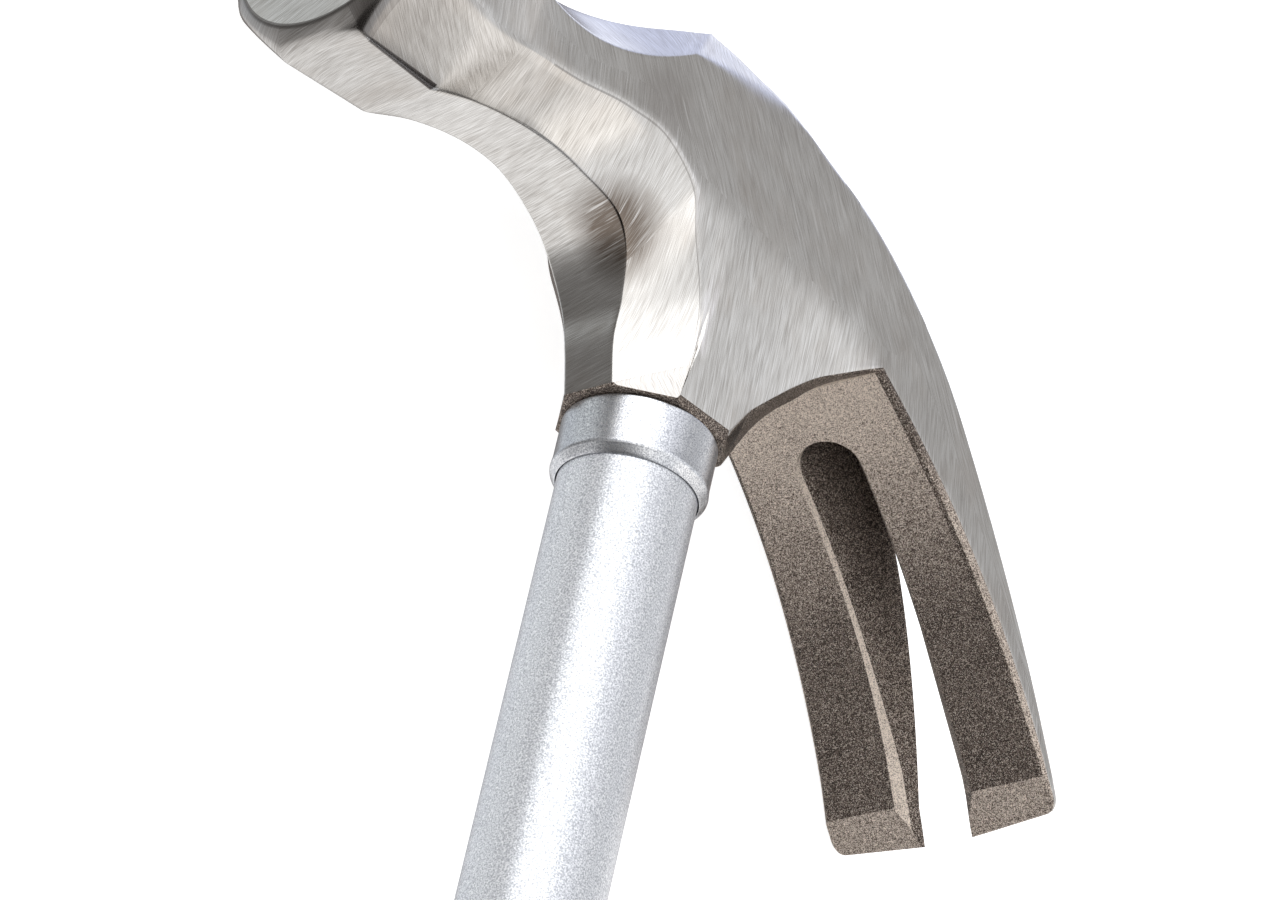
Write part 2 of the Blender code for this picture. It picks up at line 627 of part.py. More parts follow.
def main():
    for old in list(bpy.data.objects):
        bpy.data.objects.remove(old)
    parts = bpy.data.collections.new("claw_hammer")
    cutters = bpy.data.collections.new("cutters")
    bpy.context.scene.collection.children.link(parts)
    bpy.context.scene.collection.children.link(cutters)

    forged = material("polished_forged_steel", (0.56, 0.54, 0.52), 0.28, 1.0)
    silver = material("silver_paint", (0.66, 0.68, 0.72), 0.35, 0.8)
    resin = material("bonding_resin", (0.42, 0.34, 0.2), 0.5, 0.0)
    bare = material("bare_steel", (0.45, 0.45, 0.46), 0.45, 1.0)
    rubber = material("black_rubber", (0.03, 0.03, 0.032), 0.7, 0.0)
    moulded = material("moulded_plastic", (0.05, 0.05, 0.05), 0.5, 0.0)

    root = bpy.data.objects.new("hammer_root", None)
    crown_peak = outer_x(CROWN_Y) + UPPER_CHAMFER
    root.location = (-(crown_peak + BUTT_X) / 2 * MM, -(FACE_Y + TIP_Y) / 2 * MM, CLAW_TIP_HALF_WIDTH * MM)
    parts.objects.link(root)

    pieces = (
        (make_head(cutters), forged),
        (make_handle_tube(), silver),
        (make_collar(), silver),
        (make_bond_sleeve(), resin),
        (make_eye_plug(), bare),
        (make_grip(cutters), rubber),
        (make_butt_plug(), moulded),
    )
    for piece, finish in pieces:
        piece.data.materials.append(finish)
        parts.objects.link(piece)
        piece.parent = root
    for cutter in cutters.objects:
        cutter.parent = root


main()
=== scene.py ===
"""Looks of the curved claw hammer: finely rounded meshes, finishes, floor, light and camera.

X runs from the butt to the head, Y from the claw to the striking face, and Z is up with the hammer lying
on its side. Shapes are worked out in millimetres from the seam between collar and tube, on the handle's
axis, and set down in metres where the frame has its collar.
"""

import math
from collections import namedtuple

import bmesh
import bpy
import numpy as np
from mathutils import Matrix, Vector


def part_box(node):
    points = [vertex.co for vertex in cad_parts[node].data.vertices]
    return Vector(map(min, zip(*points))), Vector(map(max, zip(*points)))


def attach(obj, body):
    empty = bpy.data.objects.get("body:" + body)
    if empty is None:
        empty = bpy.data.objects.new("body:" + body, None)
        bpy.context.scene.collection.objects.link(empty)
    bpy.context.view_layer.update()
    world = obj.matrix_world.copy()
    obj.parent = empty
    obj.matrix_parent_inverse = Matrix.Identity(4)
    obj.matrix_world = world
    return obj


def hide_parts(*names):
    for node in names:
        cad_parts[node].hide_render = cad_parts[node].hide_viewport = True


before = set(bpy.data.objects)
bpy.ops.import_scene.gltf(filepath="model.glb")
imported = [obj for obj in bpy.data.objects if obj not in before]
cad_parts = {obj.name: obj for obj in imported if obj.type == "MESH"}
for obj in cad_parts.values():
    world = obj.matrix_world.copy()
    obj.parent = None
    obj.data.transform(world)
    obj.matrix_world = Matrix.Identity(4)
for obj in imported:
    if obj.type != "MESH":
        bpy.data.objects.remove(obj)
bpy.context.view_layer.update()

MM = 0.001
CLEARANCE = 0.3

# Handle tube and collar
TUBE_RADIUS = 9.2
TUBE_WALL = 1.6
TUBE_NECK_RADIUS = 7.3
SWAGE_LENGTH = 3.2
SWAGE_EASE = 0.6
SWAGE_FOOT_EASE = 1.2
TUBE_TOP_EASE = 0.4
TUBE_END_EASE = 0.3
BARE_TUBE_LENGTH = 104.0
COLLAR_RADIUS = 10.25
COLLAR_BEAD_RADIUS = 10.4
COLLAR_BEAD_LENGTH = 1.35
COLLAR_RIM_GAP = 0.2
COLLAR_TOP_EASE = 0.15
BEAD_SWELL = (0.35, -0.04)
BEAD_UNDER = (-0.3, -0.3)
LIP_START = (0.3, 0.25)
LIP_X = 0.05
LIP_DEPTH = 0.5
BOND_THICKNESS = 0.7
EYE_TOP_RECESS = 1.5
BUTT_PLUG_FLANGE = 2.0

# Grip: half sizes along Y and Z at its mouth, waist, belly and butt, and the shares of its length at which
# it reaches them
GRIP_LENGTH = 180.0
GRIP_END_WALL = 5.0
GRIP_MOUTH = (12.4, 12.0)
GRIP_WAIST = (14.8, 12.6)
GRIP_BELLY = (17.6, 14.2)
GRIP_BUTT = (19.0, 15.2)
GRIP_PLACES = (0.0, 0.28, 0.62, 0.94, 1.0)
GRIP_EDGE = 4.0
GRIP_MOUTH_ROUND = 1.2
GROOVE_PITCH = 5.0
GROOVE_DEPTH = 0.55
GROOVE_HALF_WIDTH = 0.9
GROOVES_FROM = 20.0
GROOVES_TO = 150.0

# Poll: octagonal bell with a round face
FACE_Y = 72.7
FACE_RADIUS = 15.6
FACE_CHAMFER_DEPTH = 1.6
FACE_CHAMFER_WIDTH = 2.0
POLL_AXIS_X = 39.7
BELL_LENGTH = 17.8
BELL_FRONT_HALF_HEIGHT = 17.9
BELL_REAR_HALF_HEIGHT = 15.5
BELL_FRONT_HALF_WIDTH = 16.6
BELL_REAR_HALF_WIDTH = 14.0
BELL_FRONT_FLAT = 6.9
BELL_REAR_FLAT = 5.8
BELL_SIDE_FLAT = 8.4

# Neck, throat and saddle
NECK_UNDER_X = 31.5
NECK_HALF_WIDTH = 11.3
NECK_FLAT = 4.9
SADDLE_X = 44.2
SADDLE_Y = 43.2
SADDLE_EDGE_POWER = 2.2
SADDLE_TOP_POWER = 1.6
UPPER_CHAMFER = 5.8
CROWN_Y = 13.6
CROWN_LEAN = 4.6
CROWN_FLAT = 9.4
CROWN_BULGE = 1.0

# Boss round the eye, and the cheeks above it
BOSS_FOOT_X = 8.8
BOSS_FRONT_Y = 11.1
BOSS_FRONT_FLAT = 3.9
BOSS_FRONT_CORNER_Y = 5.4
BOSS_REAR_CORNER_Y = -5.2
BOSS_REAR_Y = -9.5
BOSS_REAR_FLAT = 5.9
BOSS_HALF_WIDTH = 10.2
BOSS_FOOT_ROUND = 0.8
CHEEK_HALF_WIDTH = 13.1
CHEEK_CREASE_X = 36.6

# Claw seen from the side: its outer curve has two radii that meet at the join, and its inner curve has one
# radius and a length about its middle; bearings are in degrees
OUTER_JOIN_X = 35.88
OUTER_JOIN_Y = -43.07
OUTER_JOIN_BEARING = 49.3
OUTER_RADIUS = 60.0
OUTER_TAIL_RADIUS = 280.0
INNER_MIDDLE_X = 16.1
INNER_MIDDLE_Y = -50.06
INNER_MIDDLE_BEARING = 40.9
INNER_RADIUS = 129.0
INNER_LENGTH = 58.1
ROOT_OUTER_Y = -33.0
BEVEL_OUTER_Y = -71.8
TIP_Y = -73.9
TIP_THICKNESS = 0.8
TIP_SLANT = (-0.5, 0.8)
TIP_CORNER = 1.6
TIP_REACH = 1.5
TIP_REACH_RUN = 8
TIP_SHARES = (0.25, 0.5, 0.65, 0.8, 0.9, 0.96, 1.0)
TIP_CORNER_FROM = 0.5
CLAW_ROOT_HALF_WIDTH = 14.4
CLAW_TIP_HALF_WIDTH = 18.4
CLAW_FLARE_POWER = 1.2
EDGE_BREAK = 0.5
CLAW_UNDER_BEVEL = 0.8
CLAW_BEVEL_RUN = 0.4

# Nail slot
SLOT_ROOT_SETBACK = 7.4
SLOT_UNDER_HALF_WIDTH = 4.5
SLOT_TOP_HALF_WIDTH = 4.0
SLOT_TOP_POWER = 1.5
SLOT_TIP_FLARE = 1.4
SLOT_FLOOR_HALF_WIDTH = 0.4
SLOT_BREAKTHROUGH = 0.5
SLOT_ROOT_DEPTH = 0.6
SLOT_FLOOR_POWER = 40
SLOT_END_START = 0.4
SLOT_EDGE_BEVEL = 0.8
SLOT_TIP_BEVEL = 1.9
SLOT_OVERRUN = 3.0
SLOT_TIP_OVERRUN = 3.0
SLOT_ROUNDING = ((0.1, 0.1), (0.1, 0.1), (0.35, 0.35), (0.1, 0.1), (0.1, 0.1)) * 2
SLOT_FACET_POINTS = (1, 10, 2, 2, 4, 2, 2, 10, 1, 1)

# How far each long edge of the head is rounded on the side before it and the side after it, from the top
# edge round to the under edge; the crease is a soft bend
EDGE_ROUNDING = ((0.5, 0.5), (0.35, 0.35), (3.0, 3.0), (1.3, 0.3), (0.35, 0.35))
CROWN_ROUNDING = ((1.2, 1.2), (2.2, 3.5), (3.0, 3.0), (0.3, 0.25), (0.35, 0.35))
BELL_ROUNDING = ((1.6, 1.6), (1.6, 1.6), (3.0, 3.0), (1.6, 1.6), (0.8, 0.45))
# Share of the bell's rounding at the face; the crease under the bell starts there with none
BELL_FRONT_SHARE = np.array([[1.0], [1.0], [1.0], [1.0], [0.0]])
BELL_REAR_ROUNDING = 0.6
BELL_REAR_SOFTNESS = (1.0, 1.0, 1.0, 1.0, 0.0)
BELL_REAR_ROUNDS = 40
BELL_REAR_REACH = 9
CHAMFER_ROUNDING = 1.9
RIM_ROUNDING = 0.4
FOOT_ROUNDING = 0.7
TIP_ROUNDING = 0.3
REACH_LIMIT = 0.45

# Facets of a head ring in order, the points along each, and the facets and corners on its underside
FACET_NAMES = ("upper", "flank", "cheek", "lower", "under", "lower", "cheek", "flank", "upper", "top")
FACET_POINTS = (4, 8, 8, 6, 10, 6, 8, 8, 4, 10)
UNDER_FACET = 4
LOWER_FACETS = (3, 5)
UNDERSIDE = (3, 4, 5)
LOWER_CORNERS = (3, 6)
UNDER_CORNERS = (4, 5)

# Fineness of round and curved stretches
TURNED_STEPS = 128
GRIP_SIDES = 96
GRIP_STEP = 0.45
GRIP_MOUTH_STEPS = 4
GRIP_EDGE_STEPS = 8
BEAD_STEPS = 6
LIP_STEPS = 3
ROUNDING_STEPS = 3
SOFT_STEPS = 4
STEPS_BETWEEN_SECTIONS = 8
CROWN_SECTION = 5
FOOT_STEPS = 4
BELL_STEPS = 10
CHAMFER_STEPS = 8
FACE_RINGS = 8
FACE_RING_POWER = 0.6
CLAW_RINGS = 56
SLOT_RINGS = 60
SLOT_END_RINGS = 14
BISECTIONS = 40
TINY = 1e-9
WELD_REACH = 1e-6
HEAD_SHARP_ANGLE = 32.0
GRIP_SHARP_ANGLE = 50.0

# Places that follow from the sizes above
BELL_REAR_Y = FACE_Y - BELL_LENGTH
EYE_RADIUS = TUBE_NECK_RADIUS + BOND_THICKNESS + 2 * CLEARANCE
COLLAR_TOP_X = BOSS_FOOT_X - CLEARANCE
COLLAR_BORE = TUBE_RADIUS + CLEARANCE
GRIP_TOP_X = -BARE_TUBE_LENGTH
BUTT_X = GRIP_TOP_X - GRIP_LENGTH
TUBE_END_X = BUTT_X + GRIP_END_WALL + BUTT_PLUG_FLANGE + 2 * CLEARANCE

# Directions of the grinding marks: on the sides as (x, y), elsewhere as shares along and across the facet
SIDE_GRAIN = {"flank": (0.81, 0.59), "cheek": (0.985, 0.17)}
FACET_GRAIN = {"top": (0.3, 0.95), "upper": (0.4, 0.92), "lower": (0.2, 0.98), "boss": (0.88, 0.47),
               "under": (0.22, 0.97)}
FACE_GRAIN = (0.5, 0.86)
BOSS_GRAIN_BELOW_X = 31.0
FACET_SHIFT = 7.3

# Painted light and shade on the skin, below 0 for painted shade and above 0 for painted highlight; the
# claw's bevel gets a painted highlight from some way past its root
# Painted light on the claw's underside: a painted highlight at the root and behind it, fading into painted
# shade towards the tips
TONE_ROOT = 1.75
TONE_TIP = -0.65
TONE_FADE = 1.7
# Painted highlight on the claw's lower bevels
TONE_BEVEL = 0.95
# Painted dark reflection along the claw's under corners
TONE_LINE = -0.8
# Painted highlight on the tip's facets
TONE_TIP_FACET = 0.75
# Painted shade on the slot's walls; painted shade on one of its bevels and a painted highlight on the
# other
TONE_SLOT_WALL = -0.45
TONE_SLOT_BEVELS = {2: -0.6, 6: 2.0}
# Painted shade on the underside of the boss's foot, next to the collar
TONE_FOOT = -0.4
# Painted shade on the lower strips behind the boss
TONE_STRIP = -0.55
# Painted shade on the face's chamfer: on the underside facets it fades out across the chamfer, on the
# other facets it stays
TONE_CHAMFER = (-0.75, 0.0)
TONE_CHAMFER_FACETS = (4, 5)
TONE_CHAMFER_SIDE = (-0.75, -0.6)
# Painted shade in the creases under the bell, darker on the near crease than on the far one; it deepens
# along the bell from the start share to full
TONE_CREASES = {4: -1.0, 5: -0.4}
TONE_CREASE_START = 0.7
# Painted shade on the bell's underside, and on its lower sides fading towards the rear
TONE_BELL_UNDER = -0.14
TONE_BELL_SIDE = -0.4
# Painted dark reflection along the neck's two lower edges, from some rings past the bell
TONE_NECK_LINE = -0.45
NECK_LINE_FROM = 16
# Where the bevel's painted highlight starts past the root, and the run over which it comes in
BEVEL_HIGHLIGHT_FROM = 0.12
BEVEL_HIGHLIGHT_RUN = 0.25

# Studio light: the surround's colour by height of the direction, then panels and flags as a direction, the
# angles inside which the panel is full and outside which it is gone, and its colour
SURROUND = (
    (-1.0, (1.0, 0.99, 0.98)),
    (-0.45, (1.0, 0.99, 0.98)),
    (-0.1, (0.35, 0.34, 0.33)),
    (0.0, (0.12, 0.11, 0.105)),
    (0.15, (0.16, 0.155, 0.15)),
    (0.6, (0.85, 0.86, 0.88)),
    (1.0, (1.0, 1.0, 1.0)),
)
PANELS = (
    ((-0.5, -0.6, 0.68), 13.0, 22.0, (1.28, 1.24, 1.19)),
    ((-0.45, 0.6, 0.65), 20.0, 36.0, (1.25, 1.23, 1.2)),
    ((0.5, 0.65, 0.57), 20.0, 34.0, (2.4, 2.4, 2.4)),
    ((0.53, -0.06, 0.85), 10.0, 24.0, (1.0, 1.0, 1.05)),
    ((0.08, 0.38, 0.92), 8.0, 17.0, (1.6, 1.6, 1.6)),
    ((-0.15, -0.98, -0.02), 20.0, 33.0, (0.95, 0.92, 0.89)),
    ((-0.22, -0.87, 0.44), 8.0, 18.0, (1.05, 1.02, 0.99)),
    ((-0.6, -0.79, -0.05), 9.0, 22.0, (0.02, 0.02, 0.02)),
    ((-0.83, 0.5, 0.1), 23.0, 34.0, (0.03, 0.027, 0.025)),
    ((0.5, -0.86, -0.05), 14.0, 26.0, (1.1, 1.08, 1.07)),
    ((0.55, 0.35, -0.76), 22.0, 40.0, (0.6, 0.63, 0.66)),
    ((0.1, 0.8, -0.58), 14.0, 48.0, (0.19, 0.185, 0.18)),
    ((0.55, 0.58, -0.6), 10.0, 20.0, (0.62, 0.64, 0.64)),
    ((0.68, -0.42, 0.6), 8.0, 24.0, (0.42, 0.415, 0.41)),
    ((0.93, -0.3, -0.1), 20.0, 36.0, (0.77, 0.83, 1.08)),
    ((0.52, -0.52, -0.68), 14.0, 28.0, (0.14, 0.12, 0.11)),
    ((0.8, -0.58, -0.1), 8.0, 18.0, (1.15, 1.2, 1.38)),
)

# Where the ground steel is darkened brown: in the throat's bend and below the saddle, each with the two
# distances between which it fades, and its strength
TINTS = (((27.3, 18.8, 5.6), (2.5, 8.0), 1.4), ((44.7, 22.1, 12.0), (1.0, 8.0), 0.4))

# Floor, and the camera that took the photograph, in metres and radians; lens and sensor are in millimetres
FLOOR_SIZE = 3.0
FLOOR_GLOW = 0.68
CAMERA_PLACE = (-0.35586, 0.54049, 0.55243)
CAMERA_TURN = (0.32298, -0.89088, -1.25687)
CAMERA_LENS = 196.9
CAMERA_SENSOR = 36.0

# One section of the head on its upper side: three edges as (x, y, half width), then where the section
# meets the upper chamfer's two edges, with their half widths
Section = namedtuple("Section", "under lower crease upper_y upper_half top_y top_half")

collar_low, collar_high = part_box("collar")
SEAM = np.array([collar_low.x, (collar_low.y + collar_high.y) / 2, (collar_low.z + collar_high.z) / 2])


def between(low, high, share):
    return low + (high - low) * share


def polar(centre, radius, bearing):
    """Point on a claw curve; bearings turn from the head's top towards the claw's tips."""
    angle = math.radians(bearing)
    return centre[0] + radius * math.cos(angle), centre[1] - radius * math.sin(angle)


def outer_centre(radius):
    """Centre of one of the outer curve's radii, both of which pass through the join."""
    return polar((OUTER_JOIN_X, OUTER_JOIN_Y), -radius, OUTER_JOIN_BEARING)


def outer_x(y):
    """Outer curve of the claw: a round shoulder that runs on into a nearly straight tail."""
    radius = OUTER_RADIUS if y >= OUTER_JOIN_Y else OUTER_TAIL_RADIUS
    centre = outer_centre(radius)
    return centre[0] + math.sqrt(radius ** 2 - (y - centre[1]) ** 2)


def inner_point(share):
    """Point on the inner curve, at a share of the way from the claw's root to its tip's bevel."""
    centre = polar((INNER_MIDDLE_X, INNER_MIDDLE_Y), -INNER_RADIUS, INNER_MIDDLE_BEARING)
    turn = math.degrees(INNER_LENGTH / INNER_RADIUS)
    return polar(centre, INNER_RADIUS, INNER_MIDDLE_BEARING + turn * (share - 0.5))


def saddle_x(y, low, bell_x, crown_x, crown_y, power):
    """An edge over the neck: lowest at the saddle, up to the bell in front and to the crown behind."""
    if y >= SADDLE_Y:
        return between(low, bell_x, ((y - SADDLE_Y) / (BELL_REAR_Y - SADDLE_Y)) ** 2)
    return between(low, crown_x, ((SADDLE_Y - y) / (SADDLE_Y - crown_y)) ** power)


def upper_edge_x(y):
    """Edge between cheek and upper chamfer: bell, saddle, then the claw's outer curve."""
    bell_x = POLL_AXIS_X + BELL_SIDE_FLAT
    if y >= BELL_REAR_Y:
        return bell_x
    shoulder_y = CROWN_Y + CROWN_LEAN
    shoulder_x = outer_x(shoulder_y) - EDGE_BREAK
    if y >= shoulder_y:
        return saddle_x(y, SADDLE_X, bell_x, shoulder_x, shoulder_y, SADDLE_EDGE_POWER)
    return outer_x(y) - EDGE_BREAK


def top_edge_x(y):
    """Edge between upper chamfer and top, whose nearly straight crown runs into the claw's outer curve."""
    low = SADDLE_X + UPPER_CHAMFER
    bell_x = POLL_AXIS_X + BELL_REAR_HALF_HEIGHT
    peak_x = outer_x(CROWN_Y) + UPPER_CHAMFER
    if y >= BELL_REAR_Y:
        rise = BELL_FRONT_HALF_HEIGHT - BELL_REAR_HALF_HEIGHT
        return bell_x + rise * (y - BELL_REAR_Y) / BELL_LENGTH
    if y >= CROWN_Y:
        return saddle_x(y, low, bell_x, peak_x, CROWN_Y, SADDLE_TOP_POWER)
    centre = outer_centre(OUTER_RADIUS)
    away = (peak_x - centre[0], CROWN_Y - centre[1])
    tilt = math.acos(OUTER_RADIUS / math.hypot(*away))
    touch = polar(centre, OUTER_RADIUS, math.degrees(tilt - math.atan2(away[1], away[0])))
    if y >= touch[1]:
        share = (CROWN_Y - y) / (CROWN_Y - touch[1])
        return peak_x + (touch[0] - peak_x) * share + CROWN_BULGE * math.sin(math.pi * share)
    return outer_x(y)


def bell_section(y, half_height, half_width, flat):
    """An octagon round the poll's axis."""
    return Section(
        under=(POLL_AXIS_X - half_height, y, flat),
        lower=(POLL_AXIS_X - BELL_SIDE_FLAT, y, half_width),
        crease=(POLL_AXIS_X, y, half_width),
        upper_y=y,
        upper_half=half_width,
        top_y=y,
        top_half=flat,
    )


def neck_y(share):
    """Place along the neck, from the crown's peak to the bell's rear."""
    return between(CROWN_Y, BELL_REAR_Y, share)


def boss_x(share):
    """Height on the boss, from its foot to the crease across the cheeks."""
    return between(BOSS_FOOT_X, CHEEK_CREASE_X, share)


def front_sections():
    """From the bell's rear, under the neck and through the throat, down the front of the boss."""
    neck = NECK_UNDER_X
    wide = NECK_HALF_WIDTH
    flat = NECK_FLAT
    front = BOSS_FRONT_Y
    crease = CHEEK_CREASE_X
    cheek = CHEEK_HALF_WIDTH
    boss = BOSS_HALF_WIDTH
    crown = CROWN_FLAT
    shoulder_y = CROWN_Y + CROWN_LEAN
    return [
        bell_section(BELL_REAR_Y, BELL_REAR_HALF_HEIGHT, BELL_REAR_HALF_WIDTH, BELL_REAR_FLAT),
        Section((neck - 3.3, neck_y(0.804), flat + 0.2), (neck + 3.3, neck_y(0.8), wide + 0.8),
                (neck + 8.5, neck_y(0.8), wide + 0.8),
                neck_y(0.8), wide + 0.8, neck_y(0.8), flat + 0.4),
        Section((neck - 0.2, neck_y(0.538), flat), (neck + 5.9, neck_y(0.554), wide),
                (neck + 9.2, neck_y(0.547), wide), neck_y(0.54), wide, neck_y(0.54), flat + 0.4),
        Section((neck - 0.2, neck_y(0.327), flat + 0.6), (neck + 8.4, neck_y(0.312), wide + 0.2),
                (neck + 12.0, neck_y(0.295), wide + 0.3),
                neck_y(0.3), wide + 0.4, neck_y(0.29), flat + 2.2),
        Section((neck - 2.2, neck_y(0.15), flat + 1.6), (neck + 8.3, neck_y(0.14), wide + 0.8),
                (neck + 10.0, neck_y(0.136), wide + 0.9),
                neck_y(0.17), wide + 0.7, neck_y(0.126), crown - 0.4),
        Section((neck - 5.8, neck_y(0.068), flat + 1.3), (crease - 0.4, CROWN_Y, cheek - 0.6),
                (crease + 0.8, CROWN_Y, cheek - 0.4), shoulder_y, wide + 0.8, CROWN_Y, crown),
        Section((boss_x(0.41), front + 2.9, BOSS_FRONT_FLAT + 1.0),
                (boss_x(0.784), front - 0.3, cheek - 0.9),
                (crease + 0.4, front - 1.1, cheek), front - 0.7, cheek - 0.6, front - 1.7, crown + 0.9),
        Section((boss_x(0.209), front + 1.7, BOSS_FRONT_FLAT + 0.1),
                (boss_x(0.5), front - 5.3, boss + 0.75),
                (crease + 0.2, front - 3.6, cheek), front - 5.3, cheek - 0.4, front - 5.7, crown + 1.6),
        Section((BOSS_FOOT_X, front, BOSS_FRONT_FLAT), (boss_x(0.194), front - 6.7, boss),
                (crease, front - 6.1, cheek), front - 8.5, cheek - 0.3, front - 8.7, crown + 2.3),
    ]


def foot_sections():
    """The boss's flat foot, from its front corners to its rear corners, with a rounded rim."""
    foot = BOSS_FOOT_X
    half = BOSS_HALF_WIDTH
    rim = foot + BOSS_FOOT_ROUND
    front = BOSS_FRONT_CORNER_Y
    rear = BOSS_REAR_CORNER_Y
    crease = CHEEK_CREASE_X
    cheek = CHEEK_HALF_WIDTH
    return [
        Section((foot, front, half - 0.3), (rim, front - 0.4, half),
                (crease, 2.5, cheek), -0.2, cheek - 0.2, -0.2, CROWN_FLAT + 2.9),
        Section((foot, rear, half - 0.2), (rim + 1.0, rear, half),
                (crease, -4.5, cheek + 0.2), -5.2, cheek, -5.2, CROWN_FLAT + 3.4),
    ]


def rear_sections():
    """From the rear of the boss, up through the crotch, to the root of the claw."""
    rear = BOSS_REAR_Y
    boss = BOSS_HALF_WIDTH
    cheek = CHEEK_HALF_WIDTH
    crease = CHEEK_CREASE_X
    flat = BOSS_REAR_FLAT
    root = CLAW_ROOT_HALF_WIDTH
    root_x, root_y = inner_point(0.0)

    def crotch(x_share, y_share):
        return between(BOSS_FOOT_X, root_x, x_share), between(rear, root_y, y_share)

    def crown(share):
        return between(rear, ROOT_OUTER_Y, share)

    return [
        Section((BOSS_FOOT_X, rear, flat), (boss_x(0.234), rear + 1.7, boss + 0.3),
                (crease - 0.4, rear + 0.5, cheek + 0.3),
                crown(0.02), cheek + 0.3, crown(0.02), cheek - 0.2),
        Section((*crotch(0.35, 0.23), flat + 0.1), (*crotch(0.456, 0.108), boss + 0.8),
                (crease - 0.6, crown(0.13), cheek + 0.5),
                crown(0.21), cheek + 0.6, crown(0.21), cheek + 0.1),
        Section((*crotch(0.54, 0.4), flat + 0.4), (*crotch(0.603, 0.287), boss + 1.3),
                (crease - 0.8, crown(0.28), cheek + 0.7),
                crown(0.4), root - 0.5, crown(0.4), root - 1.0),
        Section((*crotch(0.675, 0.545), flat + 1.5), (*crotch(0.726, 0.46), boss + 1.8),
                (crease - 1.0, crown(0.38), cheek + 0.8),
                crown(0.55), root - 0.4, crown(0.55), root - 0.9),
        Section((*crotch(0.814, 0.69), flat + 2.8), (*crotch(0.84, 0.671), boss + 2.5),
                (crease - 1.2, crown(0.52), root - 0.5),
                crown(0.72), root - 0.3, crown(0.72), root - 0.8),
        root_section(root_x, root_y),
    ]


def root_section(root_x, root_y):
    """The claw's first section, where its inner curve leaves the crotch."""
    half = CLAW_ROOT_HALF_WIDTH
    edge = EDGE_BREAK
    return Section((root_x, root_y, half - edge), (root_x + edge, root_y - edge / 2, half),
                   (root_x + 3.0, root_y - 1.6, half), ROOT_OUTER_Y, half, ROOT_OUTER_Y, half - edge)


def curve_through(sections):
    """More sections between the given ones, on smooth curves through their edges."""
    rows = np.array([[*s.under, *s.lower, *s.crease, *s[3:]] for s in sections])
    spacing = np.linalg.norm(np.diff(rows, axis=0), axis=1)
    knots = np.concatenate([[0.0], np.cumsum(spacing)])
    slopes = np.gradient(rows, knots, axis=0)
    out = []
    for index, span in enumerate(spacing):
        for step in range(STEPS_BETWEEN_SECTIONS):
            t = step / STEPS_BETWEEN_SECTIONS
            out.append(rows[index] * (1 + 2 * t) * (1 - t) ** 2 + rows[index + 1] * t * t * (3 - 2 * t)
                       + span * (slopes[index] * t * (1 - t) ** 2 - slopes[index + 1] * t * t * (1 - t)))
    out.append(rows[-1])
    return [Section(tuple(v[0:3]), tuple(v[3:6]), tuple(v[6:9]), *v[9:]) for v in out]


def section_edges(section):
    """Five edge points of a section, from the top edge round to the under edge."""
    return np.array([
        (top_edge_x(section.top_y), section.top_y, section.top_half),
        (upper_edge_x(section.upper_y), section.upper_y, section.upper_half),
        section.crease,
        section.lower,
        section.under,
    ])


def claw_ends(share):
    """Inner and outer points of the claw at a share of the way from its root to its tip's bevel."""
    y = between(ROOT_OUTER_Y, BEVEL_OUTER_Y, share)
    return inner_point(share), (outer_x(y), y)


def claw_half_width(share):
    return between(CLAW_ROOT_HALF_WIDTH, CLAW_TIP_HALF_WIDTH, share ** CLAW_FLARE_POWER)


def claw_edges(inner, outer, half_width, under_bevel):
    """Five edge points of a claw section, with its long edges broken and its under edges bevelled."""
    across = np.subtract(outer, inner)
    thickness = np.linalg.norm(across)
    upper = np.subtract(outer, across / thickness * min(EDGE_BREAK, thickness / 4))
    bevel = min(under_bevel, thickness / 4)
    lower = np.add(inner, across / thickness * bevel)
    middle = (upper + lower) / 2
    return np.array([(*outer, half_width - EDGE_BREAK), (*upper, half_width), (*middle, half_width),
                     (*lower, half_width), (*inner, half_width - bevel)])


def claw_rows():
    """Edge points from just past the claw's root to the sharpened tip."""
    rows = []
    for index in range(1, CLAW_RINGS + 1):
        share = index / CLAW_RINGS
        bevel = between(EDGE_BREAK, CLAW_UNDER_BEVEL, min(1.0, share / CLAW_BEVEL_RUN))
        rows.append(claw_edges(*claw_ends(share), claw_half_width(share), bevel))
    inner, outer = claw_ends(1.0)
    tip_outer = (outer_x(TIP_Y), TIP_Y)
    tip_inner = np.add(tip_outer, np.multiply(TIP_THICKNESS, TIP_SLANT))
    for share in TIP_SHARES:
        lower = np.add(np.multiply(inner, 1 - share), np.multiply(tip_inner, share))
        upper_y = between(outer[1], TIP_Y, share)
        turn = max(0.0, share - TIP_CORNER_FROM) / (1 - TIP_CORNER_FROM)
        corner = TIP_CORNER * (1 - math.sqrt(1 - turn ** 2))
        rows.append(claw_edges(tuple(lower), (outer_x(upper_y), upper_y), CLAW_TIP_HALF_WIDTH - corner,
                               CLAW_UNDER_BEVEL))
    return rows


def reach_tips(rings):
    """Draw the tips out towards the slot, so that each tine ends a little aslant."""
    tip = np.mean(rings[-1][:, :2], axis=0)
    root = np.mean(rings[-1 - TIP_REACH_RUN][:, :2], axis=0)
    way = (tip - root) / np.linalg.norm(tip - root)
    for index, ring in enumerate(rings[-TIP_REACH_RUN:], start=1):
        inward = 1.0 - np.abs(ring[:, 2:]) / CLAW_TIP_HALF_WIDTH
        ring[:, :2] += way * inward * TIP_REACH * index / TIP_REACH_RUN


def mirrored(edges):
    """Edge points on the upper side, then mirrored to the lower side."""
    return np.concatenate([edges, edges[::-1] * (1.0, 1.0, -1.0)])


